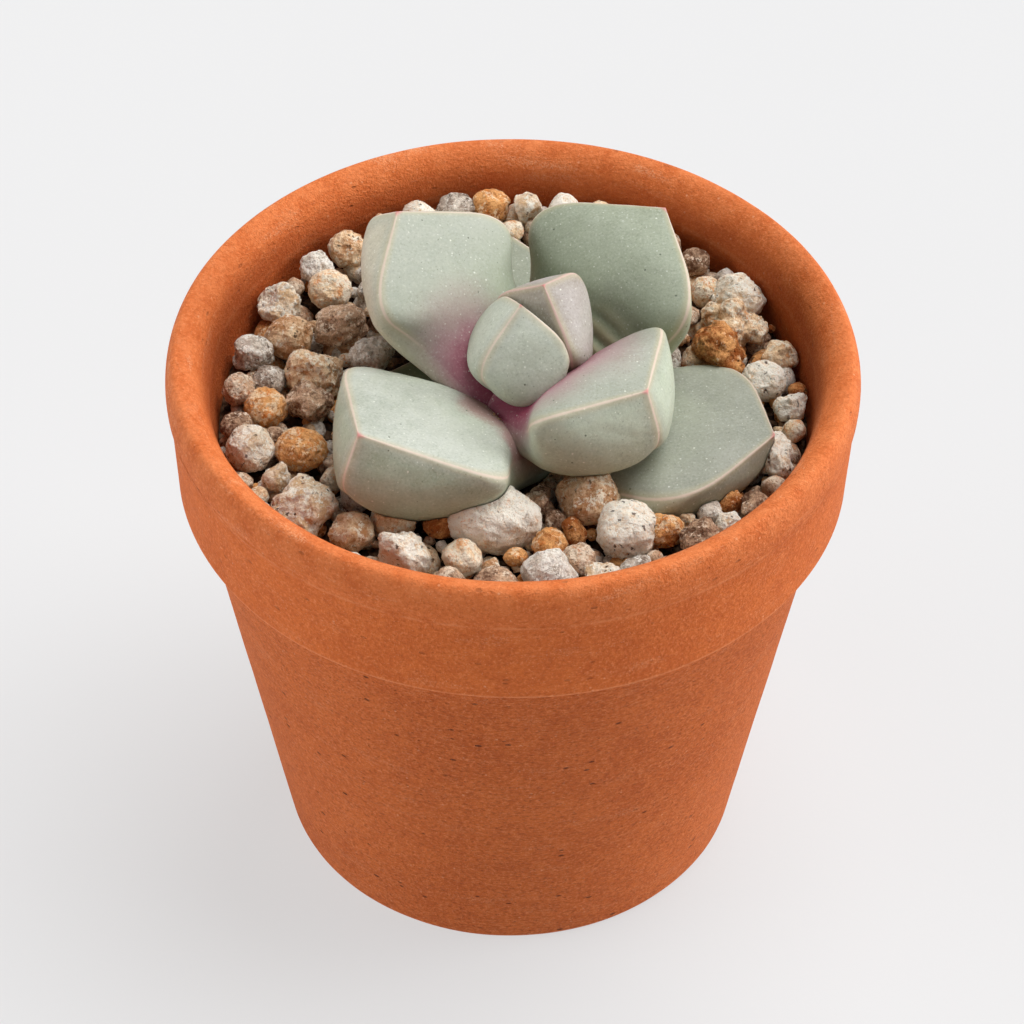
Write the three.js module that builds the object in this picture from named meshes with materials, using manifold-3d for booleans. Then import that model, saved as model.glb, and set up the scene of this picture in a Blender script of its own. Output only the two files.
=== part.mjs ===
// A living-stone succulent (Lapidaria) in an 8 cm terracotta pot, top-dressed with pumice gravel.
// Millimetres, +Z up. The origin is on the pot's axis, at the plane of its foot.
import * as THREE from "three";
import { mergeVertices } from "three/addons/utils/BufferGeometryUtils.js";
import Module from "manifold-3d";

const wasm = await Module();
wasm.setup();

// ---------------------------------------------------------------- driving dimensions
const GAP = 0.3; // air left between pieces that rest on one another
const TURN_STEPS = 44; // facets round the pot

const POT_HEIGHT = 70.8;
const RIM_RADIUS = 40.0; // widest place of the rolled lip
const LIP_PEAK_RADIUS = 38.7;
const COLLAR_RADIUS = 39.0;
const COLLAR_FOOT_Z = 53.75;
const BODY_TOP_RADIUS = 37.2;
const BASE_RADIUS = 27.8;
const FOOT_EDGE = 1.0; // rounding where the wall meets the foot
const FLOOR_THICKNESS = 4.5;
const DRAIN_RADIUS = 3.75;
const INNER_TAPER = 0.168; // how fast the bore widens with height
const INNER_RADIUS_AT_FOOT = 24.6;
const BORE_TOP_RADIUS = 35.0;
const BORE_TOP_Z = 64.2;

const MIX_TOP_Z = 52.0; // potting mix under the gravel
const GRAVEL_BED_Z = 61.3; // level that the stones are bedded in
const GRAVEL_SLOPE = 0.05; // the dressing rises a little towards the back
const GRAVEL_BANK = 0.0022; // and is banked up, by the square of the way, behind the plant
const STONE_LEVEL_Z = 62.2; // height of the stones' centres over the axis

const CROWN = [1.3, 0]; // where the leaf pairs meet, seen from above
const HEART = [2.5, 0]; // the young pair stands a little off it
const ROOT_BOTTOM_Z = 34.0;
const ROOT_TOP_Z = 64.2;

// ---------------------------------------------------------------- small helpers
function inner(z) {
  return Math.min(INNER_RADIUS_AT_FOOT + INNER_TAPER * z, BORE_TOP_RADIUS);
}

function add(a, b, k = 1) {
  return [a[0] + b[0] * k, a[1] + b[1] * k, a[2] + b[2] * k];
}

function sub(a, b) {
  return add(a, b, -1);
}

function lerp(a, b, x) {
  return add(a, sub(b, a), x);
}

function cross(a, b) {
  return [a[1] * b[2] - a[2] * b[1], a[2] * b[0] - a[0] * b[2], a[0] * b[1] - a[1] * b[0]];
}

function dot(a, b) {
  return a[0] * b[0] + a[1] * b[1] + a[2] * b[2];
}

function unit(a) {
  const n = Math.sqrt(dot(a, a)) || 1;
  return [a[0] / n, a[1] / n, a[2] / n];
}

function ease(low, high, x) {
  const t = Math.min(Math.max((x - low) / (high - low), 0), 1);
  return t * t * (3 - 2 * t);
}

// a small repeatable number source
function seeded(seed) {
  let state = seed;
  return () => {
    state = (state * 1664525 + 1013904223) % 4294967296;
    return state / 4294967296;
  };
}

function signedVolume(position, index) {
  let volume = 0;
  const p = (i) => [position[3 * i], position[3 * i + 1], position[3 * i + 2]];
  for (let i = 0; i < index.length; i += 3) {
    volume += dot(p(index[i]), cross(p(index[i + 1]), p(index[i + 2]))) / 6;
  }
  return volume;
}

// a closed triangle mesh as a solid, its faces turned outwards
function toSolid(position, index) {
  const faces = Uint32Array.from(index);
  if (signedVolume(position, faces) < 0) {
    for (let i = 0; i < faces.length; i += 3) {
      const first = faces[i];
      faces[i] = faces[i + 1];
      faces[i + 1] = first;
    }
  }
  const mesh = new wasm.Mesh({ numProp: 3, vertProperties: Float32Array.from(position), triVerts: faces });
  return new wasm.Manifold(mesh);
}

function geometryToSolid(geometry) {
  const bare = geometry.clone();
  bare.deleteAttribute("normal");
  bare.deleteAttribute("uv");
  const merged = mergeVertices(bare, 1e-4);
  const kept = [];
  const source = merged.index.array;
  for (let i = 0; i < source.length; i += 3) {
    const [a, b, c] = [source[i], source[i + 1], source[i + 2]];
    if (a !== b && b !== c && a !== c) {
      kept.push(a, b, c);
    }
  }
  return toSolid(merged.attributes.position.array, kept);
}

// the largest connected body of a cut solid, without the loose scraps
function largestBody(solid) {
  const { vertProperties, triVerts } = solid.getMesh();
  const parent = Array.from({ length: vertProperties.length / 3 }, (_, i) => i);
  const find = (i) => {
    while (parent[i] !== i) {
      parent[i] = parent[parent[i]];
      i = parent[i];
    }
    return i;
  };
  for (let i = 0; i < triVerts.length; i += 3) {
    parent[find(triVerts[i])] = find(triVerts[i + 1]);
    parent[find(triVerts[i + 1])] = find(triVerts[i + 2]);
  }
  const bodies = new Map();
  for (let i = 0; i < triVerts.length; i += 3) {
    const key = find(triVerts[i]);
    const faces = bodies.get(key) ?? [];
    faces.push(triVerts[i], triVerts[i + 1], triVerts[i + 2]);
    bodies.set(key, faces);
  }
  const size = (faces) => signedVolume(vertProperties, faces);
  const faces = [...bodies.values()].sort((a, b) => size(b) - size(a))[0];
  const renumber = new Map();
  const position = [];
  const index = faces.map((v) => {
    if (!renumber.has(v)) {
      renumber.set(v, position.length / 3);
      position.push(vertProperties[3 * v], vertProperties[3 * v + 1], vertProperties[3 * v + 2]);
    }
    return renumber.get(v);
  });
  return { position, index };
}

function solidToGeometry(solid) {
  const { position, index } = largestBody(solid);
  const geometry = new THREE.BufferGeometry();
  geometry.setAttribute("position", new THREE.Float32BufferAttribute(position, 3));
  geometry.setIndex(index);
  geometry.computeVertexNormals();
  return geometry;
}

// a profile of [radius, height] pairs turned about the Z axis
function turnedGeometry(profile, steps) {
  const points = profile.map(([r, z]) => new THREE.Vector2(r, z));
  const geometry = new THREE.LatheGeometry(points, steps);
  geometry.rotateX(Math.PI / 2);
  return geometry;
}

function turned(profile, steps = TURN_STEPS) {
  return geometryToSolid(turnedGeometry(profile, steps));
}

// ---------------------------------------------------------------- pot
function potProfile() {
  const profile = [
    [DRAIN_RADIUS, 0],
    [BASE_RADIUS - FOOT_EDGE, 0],
    [BASE_RADIUS - 0.25, 0.3],
    [BASE_RADIUS + 0.15, FOOT_EDGE + 0.2],
    [BODY_TOP_RADIUS, COLLAR_FOOT_Z - 0.4],
    [COLLAR_RADIUS - 0.5, COLLAR_FOOT_Z],
    [COLLAR_RADIUS, COLLAR_FOOT_Z + 0.7],
    [COLLAR_RADIUS + 0.1, POT_HEIGHT - 5.3],
    [COLLAR_RADIUS + 0.35, POT_HEIGHT - 4.7],
  ];
  // the lip rolls over from its widest place to the bore
  const widestZ = POT_HEIGHT - 3.2;
  const outward = RIM_RADIUS - LIP_PEAK_RADIUS;
  for (const degrees of [0, 30, 60, 90]) {
    const a = THREE.MathUtils.degToRad(degrees);
    profile.push([LIP_PEAK_RADIUS + outward * Math.cos(a), widestZ + (POT_HEIGHT - widestZ) * Math.sin(a)]);
  }
  const inward = LIP_PEAK_RADIUS - BORE_TOP_RADIUS;
  for (const degrees of [65, 42, 20, 0]) {
    const a = THREE.MathUtils.degToRad(degrees);
    const z = BORE_TOP_Z + (POT_HEIGHT - BORE_TOP_Z) * Math.sin(a);
    profile.push([LIP_PEAK_RADIUS - inward * Math.cos(a), z]);
  }
  profile.push([inner(52), 52]);
  profile.push([inner(FLOOR_THICKNESS + 1.2), FLOOR_THICKNESS + 1.2]);
  profile.push([inner(FLOOR_THICKNESS) - 1.2, FLOOR_THICKNESS]);
  profile.push([DRAIN_RADIUS, FLOOR_THICKNESS]);
  profile.push([DRAIN_RADIUS, 0]);
  return profile;
}

// ---------------------------------------------------------------- leaves
// A leaf is a soft three-sided loft. Two margins and one keel run from its foot to its tip.
// u points outwards from the crown, v across the leaf, w up. A margin is [u, v, w] at the foot,
// the neck and the shoulder, a keel is [u, w], and both end in the tip [u, w].
const LEAVES = {
  young_leaf_front: {
    bearing: 221.5, centre: HEART, foot: [0.6, 2.8, 65.5], neck: [1.0, 6.2, 70.3],
    shoulder: [0, 6.4, 75.4], tip: [2.2, 79.0], keel: [[2.4, 64.8], [6.6, 68], [8.9, 73.2]],
    soft: [0.5, 0.48], belly: 0.09, colour: 0xb4bfb0,
  },
  young_leaf_back: {
    bearing: 42.7, centre: HEART, foot: [0.6, 2.8, 65.5], neck: [0.5, 5.9, 70.1],
    shoulder: [-0.6, 6.6, 75.4], tip: [1.2, 80.0], keel: [[2.4, 64.8], [5.9, 70], [7.9, 79]],
    soft: [0.5, 0.43], belly: 0.05, colour: 0xb4bfb0,
  },
  upper_leaf_left: {
    bearing: 138, centre: CROWN, foot: [0, 6.6, 66], neck: [8.6, 7.0, 70.3],
    shoulder: [12.6, 11.9, 76.9], tip: [19.9, 80.3], keel: [[1, 62.5], [12, 66.2], [26.5, 75.3]],
    soft: [0.46, 0.44], belly: 0.1, colour: 0xb0baab,
  },
  upper_leaf_right: {
    bearing: -41, centre: CROWN, foot: [0, 6.6, 66.3], neck: [7.2, 7.8, 67.4],
    shoulder: [11.2, 11.8, 74.5], tip: [18.2, 75.4], keel: [[1, 61.5], [13, 63], [21.2, 67.6]],
    soft: [0.4, 0.35], belly: 0.11, colour: 0xb0baab,
  },
  lower_leaf_front: {
    bearing: 223.2, centre: CROWN, foot: [0.3, 7.5, 61], neck: [10.2, 6.6, 65.6],
    shoulder: [15.8, 13.9, 69.6], tip: [25.3, 73.4], keel: [[1.5, 56], [18, 59.2], [29.1, 65.5]],
    soft: [0.3, 0.32], belly: 0.085, colour: 0xa9b4a4,
  },
  lower_leaf_back: {
    bearing: 46, centre: CROWN, foot: [0.3, 7.5, 61], neck: [11.1, 8.9, 67.0],
    shoulder: [14.1, 14.1, 77], tip: [23.5, 78.2], keel: [[1.5, 58], [15, 65.5], [25.0, 71.5]],
    soft: [0.44, 0.5], belly: 0.03, colour: 0x9caa93,
  },
  outer_leaf_right: {
    bearing: -16, centre: CROWN, foot: [4, 6, 57.5], neck: [9.8, 9.6, 60.8],
    shoulder: [22.6, 13.4, 64.2], tip: [29.8, 65.5], keel: [[4, 53.4], [18, 55.5], [29.0, 60]],
    soft: [0.45, 0.5], belly: 0.1, colour: 0x98a493,
  },
  outer_leaf_left: {
    bearing: 162, centre: CROWN, foot: [4, 5.5, 57], neck: [8, 6.5, 59],
    shoulder: [13, 8, 60.8], tip: [17.5, 62.0], keel: [[4, 53.4], [12, 54], [17.5, 57.5]],
    soft: [0.45, 0.45], belly: 0.08, colour: 0x7f8a78,
  },
  outer_leaf_back: {
    bearing: 95, centre: CROWN, foot: [4, 5.5, 58], neck: [10, 7.5, 60.2],
    shoulder: [19, 11, 62.4], tip: [28.0, 65.3], keel: [[4, 53.6], [17, 54.5], [28, 58.5]],
    soft: [0.45, 0.5], belly: 0.08, colour: 0x8d9987,
  },
};

const LEAF_STEPS = 13; // rings from foot to tip
const SIDE_STEPS = 4; // points along each of the three faces
const RIDGE_SHARPNESS = 0.05;

// a polyline whose inner corners are rounded by parabolas
function softPolyline(points, soft, t) {
  const last = points.length - 1;
  const x = t * last;
  const i = Math.min(Math.floor(x), last - 1);
  let p = lerp(points[i], points[i + 1], x - i);
  for (let j = 1; j < last; j++) {
    const h = soft[j - 1];
    const away = Math.abs(x - j);
    if (away < h) {
      const bend = sub(sub(points[j + 1], points[j]), sub(points[j], points[j - 1]));
      p = add(p, bend, (h - away) ** 2 / (4 * h));
    }
  }
  return p;
}

function ridges(leaf, t) {
  const tip = [leaf.tip[0], 0, leaf.tip[1]];
  const left = softPolyline([leaf.foot, leaf.neck, leaf.shoulder, tip], leaf.soft, t);
  const keelPoints = leaf.keel.map(([u, w]) => [u, 0, w]);
  keelPoints.push(tip);
  const keel = softPolyline(keelPoints, keelPoints.slice(2).map(() => 0.5), t);
  return [left, keel, [left[0], -left[1], left[2]]];
}

// control corners whose rounded section passes through the three ridges
function controls(wanted, round) {
  let corners = wanted.map((p) => [...p]);
  for (let pass = 0; pass < 60; pass++) {
    corners = corners.map((corner, i) => {
      const others = add(corners[(i + 1) % 3], corners[(i + 2) % 3]);
      const rest = sub(wanted[i], others.map((x) => (x * round[i]) / 4));
      return rest.map((x) => x / (1 - round[i] / 2));
    });
  }
  return corners;
}

function section(leaf, t) {
  const marginRound = 0.5 + (RIDGE_SHARPNESS - 0.5) * ease(0.35, 0.72, t);
  const keelRound = 0.5 + (RIDGE_SHARPNESS - 0.5) * ease(0.35, 0.8, t);
  const round = [marginRound, keelRound, marginRound];
  const corners = controls(ridges(leaf, t), round);
  const before = ridges(leaf, Math.max(t - 0.02, 0));
  const after = ridges(leaf, Math.min(t + 0.02, 1));
  let along = [0, 0, 0];
  for (let i = 0; i < 3; i++) {
    along = add(along, sub(after[i], before[i]));
  }
  const ring = [];
  for (let i = 0; i < 3; i++) {
    const a = corners[i];
    const b = corners[(i + 1) % 3];
    const z = corners[(i + 2) % 3];
    const edge = sub(b, a);
    const incoming = sub(a, z);
    const outgoing = sub(z, b);
    const middle = add(add(a, b), z).map((x) => x / 3);
    let normal = unit(cross(edge, along));
    if (dot(sub(lerp(a, b, 0.5), middle), normal) < 0) {
      normal = normal.map((x) => -x);
    }
    const bulge = (i === 2 ? 0.04 : leaf.belly) * Math.sqrt(dot(edge, edge));
    const ha = round[i];
    const hb = round[(i + 1) % 3];
    for (let s = 0; s < SIDE_STEPS; s++) {
      const x = s / SIDE_STEPS;
      let p = lerp(a, b, x);
      if (x < ha) {
        p = add(p, sub(edge, incoming), (ha - x) ** 2 / (4 * ha));
      }
      if (1 - x < hb) {
        p = add(p, sub(outgoing, edge), (hb - (1 - x)) ** 2 / (4 * hb));
      }
      ring.push(add(p, normal, bulge * 4 * x * (1 - x)));
    }
  }
  return ring;
}

function leafMesh(leaf) {
  const position = [];
  const index = [];
  const around = 3 * SIDE_STEPS;
  for (let k = 0; k < LEAF_STEPS; k++) {
    for (const p of section(leaf, k / LEAF_STEPS)) {
      position.push(p);
    }
  }
  for (let k = 0; k + 1 < LEAF_STEPS; k++) {
    for (let j = 0; j < around; j++) {
      const next = (j + 1) % around;
      const low = k * around;
      const high = low + around;
      index.push(low + j, low + next, high + next, low + j, high + next, high + j);
    }
  }
  const tip = position.length;
  position.push([leaf.tip[0], 0, leaf.tip[1]]);
  const foot = position.length;
  let centre = [0, 0, 0];
  for (let j = 0; j < around; j++) {
    centre = add(centre, position[j], 1 / around);
  }
  position.push(centre);
  const top = (LEAF_STEPS - 1) * around;
  for (let j = 0; j < around; j++) {
    const next = (j + 1) % around;
    index.push(top + j, top + next, tip);
    index.push(j, foot, next);
  }
  const turn = THREE.MathUtils.degToRad(leaf.bearing);
  const world = position.map(([u, v, w]) => [
    leaf.centre[0] + u * Math.cos(turn) - v * Math.sin(turn),
    leaf.centre[1] + u * Math.sin(turn) + v * Math.cos(turn),
    w,
  ]);
  return { world, index };
}

// the same skin moved outwards, used as the room that a neighbour leaves free
function swollen({ world, index }, amount) {
  const sign = signedVolume(world.flat(), index) < 0 ? -1 : 1;
  const normals = world.map(() => [0, 0, 0]);
  for (let i = 0; i < index.length; i += 3) {
    const [a, b, c] = [index[i], index[i + 1], index[i + 2]];
    const n = cross(sub(world[b], world[a]), sub(world[c], world[a]));
    for (const k of [a, b, c]) {
      normals[k] = add(normals[k], n);
    }
  }
  const moved = world.map((p, i) => add(p, unit(normals[i]), sign * amount));
  return toSolid(moved.flat(), index);
}

// ---------------------------------------------------------------- stones
// the stones that stand out in the dressing, as [bearing in degrees, distance from the axis, size]
const STANDING_OUT = [
  [8, 29.5, 5.5], [20, 24.5, 6.5], [26, 30.5, 6], [32, 25.5, 6.5], [36, 31.5, 6], [140, 28.5, 5.5],
  [148, 31.5, 5.5], [149, 24, 6], [158, 28.5, 6], [169, 23.5, 7], [182, 28.5, 5.5], [194, 31, 6],
  [197, 25.5, 6], [216, 29, 8], [243, 27, 7], [264, 19.5, 8.5], [266, 29, 6], [279, 28, 6.5],
  [300, 18, 7.5], [303, 25, 7.5], [291, 30, 5], [345, 31, 6],
];
// a row of stones leans on the wall behind the plant
const BACK_ROW = { from: 47, to: 135, step: 8, distance: 31.8, sizes: [3.8, 5.0] };
// the rest fall by chance, one size after another, wherever there is still room
const FALLING = [
  { kind: "middling", sizes: [4.6, 6.0], tries: 300, closest: 0.47, sunk: 0.1 },
  { kind: "middling", sizes: [3.6, 5.0], tries: 1300, closest: 0.46, sunk: 0.1 },
  { kind: "small", sizes: [2.4, 3.6], tries: 2600, closest: 0.43, sunk: 0.5 },
];
const STONE_SEED = 20417;
const BARE_RADIUS = 12; // under the leaves' crown no stones lie

// how far the dressing stands over its middle, y to the back
function bank(y) {
  return GRAVEL_SLOPE * y + GRAVEL_BANK * Math.max(y, 0) ** 2;
}

function stoneLevel(y, size) {
  return STONE_LEVEL_Z + bank(y) + 0.12 * (size - 4);
}

function placeStones(random) {
  const stones = [];
  for (const [bearing, distance, size] of STANDING_OUT) {
    const a = THREE.MathUtils.degToRad(bearing);
    const y = distance * Math.sin(a);
    stones.push({ x: distance * Math.cos(a), y, z: stoneLevel(y, size), size, kind: "large" });
  }
  for (let bearing = BACK_ROW.from; bearing <= BACK_ROW.to; bearing += BACK_ROW.step) {
    const a = THREE.MathUtils.degToRad(bearing);
    const size = BACK_ROW.sizes[0] + (BACK_ROW.sizes[1] - BACK_ROW.sizes[0]) * random();
    const y = BACK_ROW.distance * Math.sin(a);
    stones.push({ x: BACK_ROW.distance * Math.cos(a), y, z: stoneLevel(y, size), size, kind: "middling" });
  }
  for (const { kind, sizes, tries, closest, sunk } of FALLING) {
    for (let i = 0; i < tries; i++) {
      const a = random() * 2 * Math.PI;
      const distance = BORE_TOP_RADIUS * Math.sqrt(random());
      const size = sizes[0] + (sizes[1] - sizes[0]) * random();
      const x = distance * Math.cos(a);
      const y = distance * Math.sin(a);
      const fits = distance + size / 2 < BORE_TOP_RADIUS - 0.3 && distance > BARE_RADIUS;
      const free = stones.every((s) => Math.hypot(s.x - x, s.y - y) > closest * (s.size + size));
      if (fits && free) {
        stones.push({ x, y, z: stoneLevel(y, size) - sunk, size, kind });
      }
    }
  }
  return stones;
}

const STONE_FORMS = {
  large: { Shape: THREE.IcosahedronGeometry, detail: 1, swell: 1.0 },
  middling: { Shape: THREE.IcosahedronGeometry, detail: 0, swell: 1.08 },
  small: { Shape: THREE.OctahedronGeometry, detail: 0, swell: 1.25 },
};

// a stone is a coarse ball, stretched, turned and knocked about at its corners
function stoneSolid(stone, random) {
  const { Shape, detail, swell } = STONE_FORMS[stone.kind];
  const geometry = new Shape((stone.size / 2) * swell, detail);
  geometry.deleteAttribute("normal");
  geometry.deleteAttribute("uv");
  const ball = mergeVertices(geometry, 1e-3);
  const p = ball.attributes.position;
  for (let i = 0; i < p.count; i++) {
    const k = 0.92 + 0.16 * random();
    p.setXYZ(i, p.getX(i) * k, p.getY(i) * k, p.getZ(i) * k);
  }
  ball.scale(0.95 + 0.12 * random(), 0.95 + 0.12 * random(), 0.86 + 0.12 * random());
  ball.rotateX(random() * 3);
  ball.rotateZ(random() * 6);
  for (let i = 0; i < p.count; i++) {
    const x = p.getX(i) + stone.x;
    const y = p.getY(i) + stone.y;
    const far = Math.hypot(x, y);
    const room = inner(p.getZ(i) + stone.z) - GAP - 0.25;
    const k = far > room ? room / far : 1;
    p.setXYZ(i, x * k, y * k, p.getZ(i) + stone.z);
  }
  return toSolid(p.array, ball.index.array);
}

function gravelSolid() {
  const random = seeded(STONE_SEED);
  const bottom = MIX_TOP_Z + GAP;
  const bed = turnedGeometry(
    [
      [0, bottom],
      [inner(bottom) - GAP - 0.05, bottom],
      [inner(GRAVEL_BED_Z - 2) - GAP - 0.1, GRAVEL_BED_Z],
      [22, GRAVEL_BED_Z],
      [0, GRAVEL_BED_Z],
    ],
    36,
  );
  // the top of the bed slopes with the dressing
  const p = bed.attributes.position;
  for (let i = 0; i < p.count; i++) {
    if (p.getZ(i) > GRAVEL_BED_Z - 1) {
      p.setZ(i, p.getZ(i) + bank(p.getY(i)));
    }
  }
  const stones = placeStones(random).map((stone) => stoneSolid(stone, random));
  let solid = geometryToSolid(bed);
  for (const stone of stones) {
    solid = solid.add(stone);
  }
  return solid;
}

// ---------------------------------------------------------------- root and potting mix
const ROOT_PROFILE = [
  [0, ROOT_BOTTOM_Z],
  [0.9, ROOT_BOTTOM_Z + 0.6],
  [2.0, 44],
  [3.1, 52],
  [3.4, 57],
  [3.0, 61],
  [1.9, 63.4],
  [0, ROOT_TOP_Z],
];

function rootProfile(extra) {
  return ROOT_PROFILE.map(([r, z], i) => {
    const end = i === 0 ? -extra : i === ROOT_PROFILE.length - 1 ? extra : 0;
    return [r === 0 ? 0 : r + extra, z + end];
  });
}

function mixSolid() {
  const low = FLOOR_THICKNESS + GAP;
  const side = GAP + 0.1;
  return turned(
    [
      [0, low],
      [inner(low) - side - 1.5, low],
      [inner(low + 1.5) - side, low + 1.5],
      [inner(MIX_TOP_Z) - side, MIX_TOP_Z],
      [3.1 + GAP + 0.05, MIX_TOP_Z],
      [2.0 + GAP + 0.1, 44],
      [1.3, ROOT_BOTTOM_Z],
      [0, ROOT_BOTTOM_Z - 0.6],
    ],
    36,
  );
}

// ---------------------------------------------------------------- assembly
const group = new THREE.Group();

function place(name, solid, colour, roughness) {
  const material = new THREE.MeshStandardMaterial({ color: colour, roughness, metalness: 0 });
  const mesh = new THREE.Mesh(solidToGeometry(solid), material);
  mesh.name = name;
  group.add(mesh);
}

const root = turned(rootProfile(0), 16);
const rootRoom = turned(rootProfile(GAP), 16);

place("pot", turned(potProfile()), 0xc96a3c, 0.85);
place("potting_mix", mixSolid(), 0x4a3a2c, 1.0);

const rooms = [rootRoom];
for (const [name, leaf] of Object.entries(LEAVES)) {
  const mesh = leafMesh(leaf);
  let solid = toSolid(mesh.world.flat(), mesh.index);
  for (const room of rooms) {
    solid = solid.subtract(room);
  }
  rooms.push(swollen(mesh, GAP + 0.05));
  place(name, solid, leaf.colour, 0.55);
}

let gravel = gravelSolid();
for (const room of rooms) {
  gravel = gravel.subtract(room);
}
place("gravel", gravel, 0xb08f72, 0.95);
place("root", root, 0x7a5a40, 0.9);

export default group;
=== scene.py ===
"""A living-stone succulent in a small terracotta pot, top-dressed with pumice gravel."""

import logging
import math
from collections.abc import Iterator, Sequence
from contextlib import contextmanager
from dataclasses import dataclass, field
from enum import Enum

import bpy
import numpy as np
from mathutils import Matrix, Vector
from mathutils.bvhtree import BVHTree


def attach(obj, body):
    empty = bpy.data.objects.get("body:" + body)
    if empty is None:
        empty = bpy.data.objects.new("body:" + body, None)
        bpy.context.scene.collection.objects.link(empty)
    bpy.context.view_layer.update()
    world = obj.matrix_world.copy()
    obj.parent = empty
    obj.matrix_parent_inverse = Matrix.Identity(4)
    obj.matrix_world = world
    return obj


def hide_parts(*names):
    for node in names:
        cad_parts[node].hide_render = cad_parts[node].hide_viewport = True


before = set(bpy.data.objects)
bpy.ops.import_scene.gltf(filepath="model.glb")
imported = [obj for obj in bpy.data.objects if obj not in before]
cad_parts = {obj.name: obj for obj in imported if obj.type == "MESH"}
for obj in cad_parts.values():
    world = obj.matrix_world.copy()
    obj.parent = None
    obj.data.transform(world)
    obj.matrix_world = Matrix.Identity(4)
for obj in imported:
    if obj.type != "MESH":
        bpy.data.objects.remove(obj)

LOG = logging.getLogger("potted_succulent")
MM = 0.001
Rgba = tuple[float, float, float, float]


def paint(red: int, green: int, blue: int) -> Rgba:
    """A colour from its 0 to 255 display values, as linear light.

    Args:
        red: Display red.
        green: Display green.
        blue: Display blue.

    Returns:
        Linear red, green, blue and an alpha of one.
    """
    parts = []
    for value in (red, green, blue):
        share = value / 255
        parts.append(share / 12.92 if share <= 0.04045 else ((share + 0.055) / 1.055) ** 2.4)
    return (parts[0], parts[1], parts[2], 1.0)


# ---------------------------------------------------------------- shader sheets
class Flow:
    """A number on a node socket that takes part in Python arithmetic."""

    def __init__(self, sheet: "Sheet", socket: bpy.types.NodeSocket) -> None:
        """Hold the socket and the sheet that it lies on."""
        self.sheet = sheet
        self.socket = socket

    def _math(self, operation: str, first: "Flow | float", second: "Flow | float" = 0.0) -> "Flow":
        """The result of one Math node on two values."""
        made = self.sheet.node("ShaderNodeMath", {"operation": operation}, {0: first, 1: second})
        return Flow(self.sheet, made.outputs[0])

    def __add__(self, other: "Flow | float") -> "Flow":
        """Sum."""
        return self._math("ADD", self, other)

    def __radd__(self, other: float) -> "Flow":
        """Sum with a number on the left."""
        return self._math("ADD", other, self)

    def __sub__(self, other: "Flow | float") -> "Flow":
        """Difference."""
        return self._math("SUBTRACT", self, other)

    def __rsub__(self, other: float) -> "Flow":
        """Difference from a number on the left."""
        return self._math("SUBTRACT", other, self)

    def __mul__(self, other: "Flow | float") -> "Flow":
        """Product."""
        return self._math("MULTIPLY", self, other)

    def __rmul__(self, other: float) -> "Flow":
        """Product with a number on the left."""
        return self._math("MULTIPLY", other, self)

    def least(self, other: "Flow | float") -> "Flow":
        """The smaller of two values."""
        return self._math("MINIMUM", self, other)

    def most(self, other: "Flow | float") -> "Flow":
        """The larger of two values."""
        return self._math("MAXIMUM", self, other)

    def rise(self, low: float, high: float) -> "Flow":
        """A soft step from 0 to 1.

        Args:
            low: Where the step begins.
            high: Where it is complete.

        Returns:
            The smoothed share between the two.
        """
        made = self.sheet.node(
            "ShaderNodeMapRange",
            {"interpolation_type": "SMOOTHSTEP"},
            {"Value": self, "From Min": low, "From Max": high},
        )
        return Flow(self.sheet, made.outputs["Result"])

    def fall(self, low: float, high: float) -> "Flow":
        """A soft step from 1 down to 0 between low and high."""
        return 1.0 - self.rise(low, high)


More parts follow.
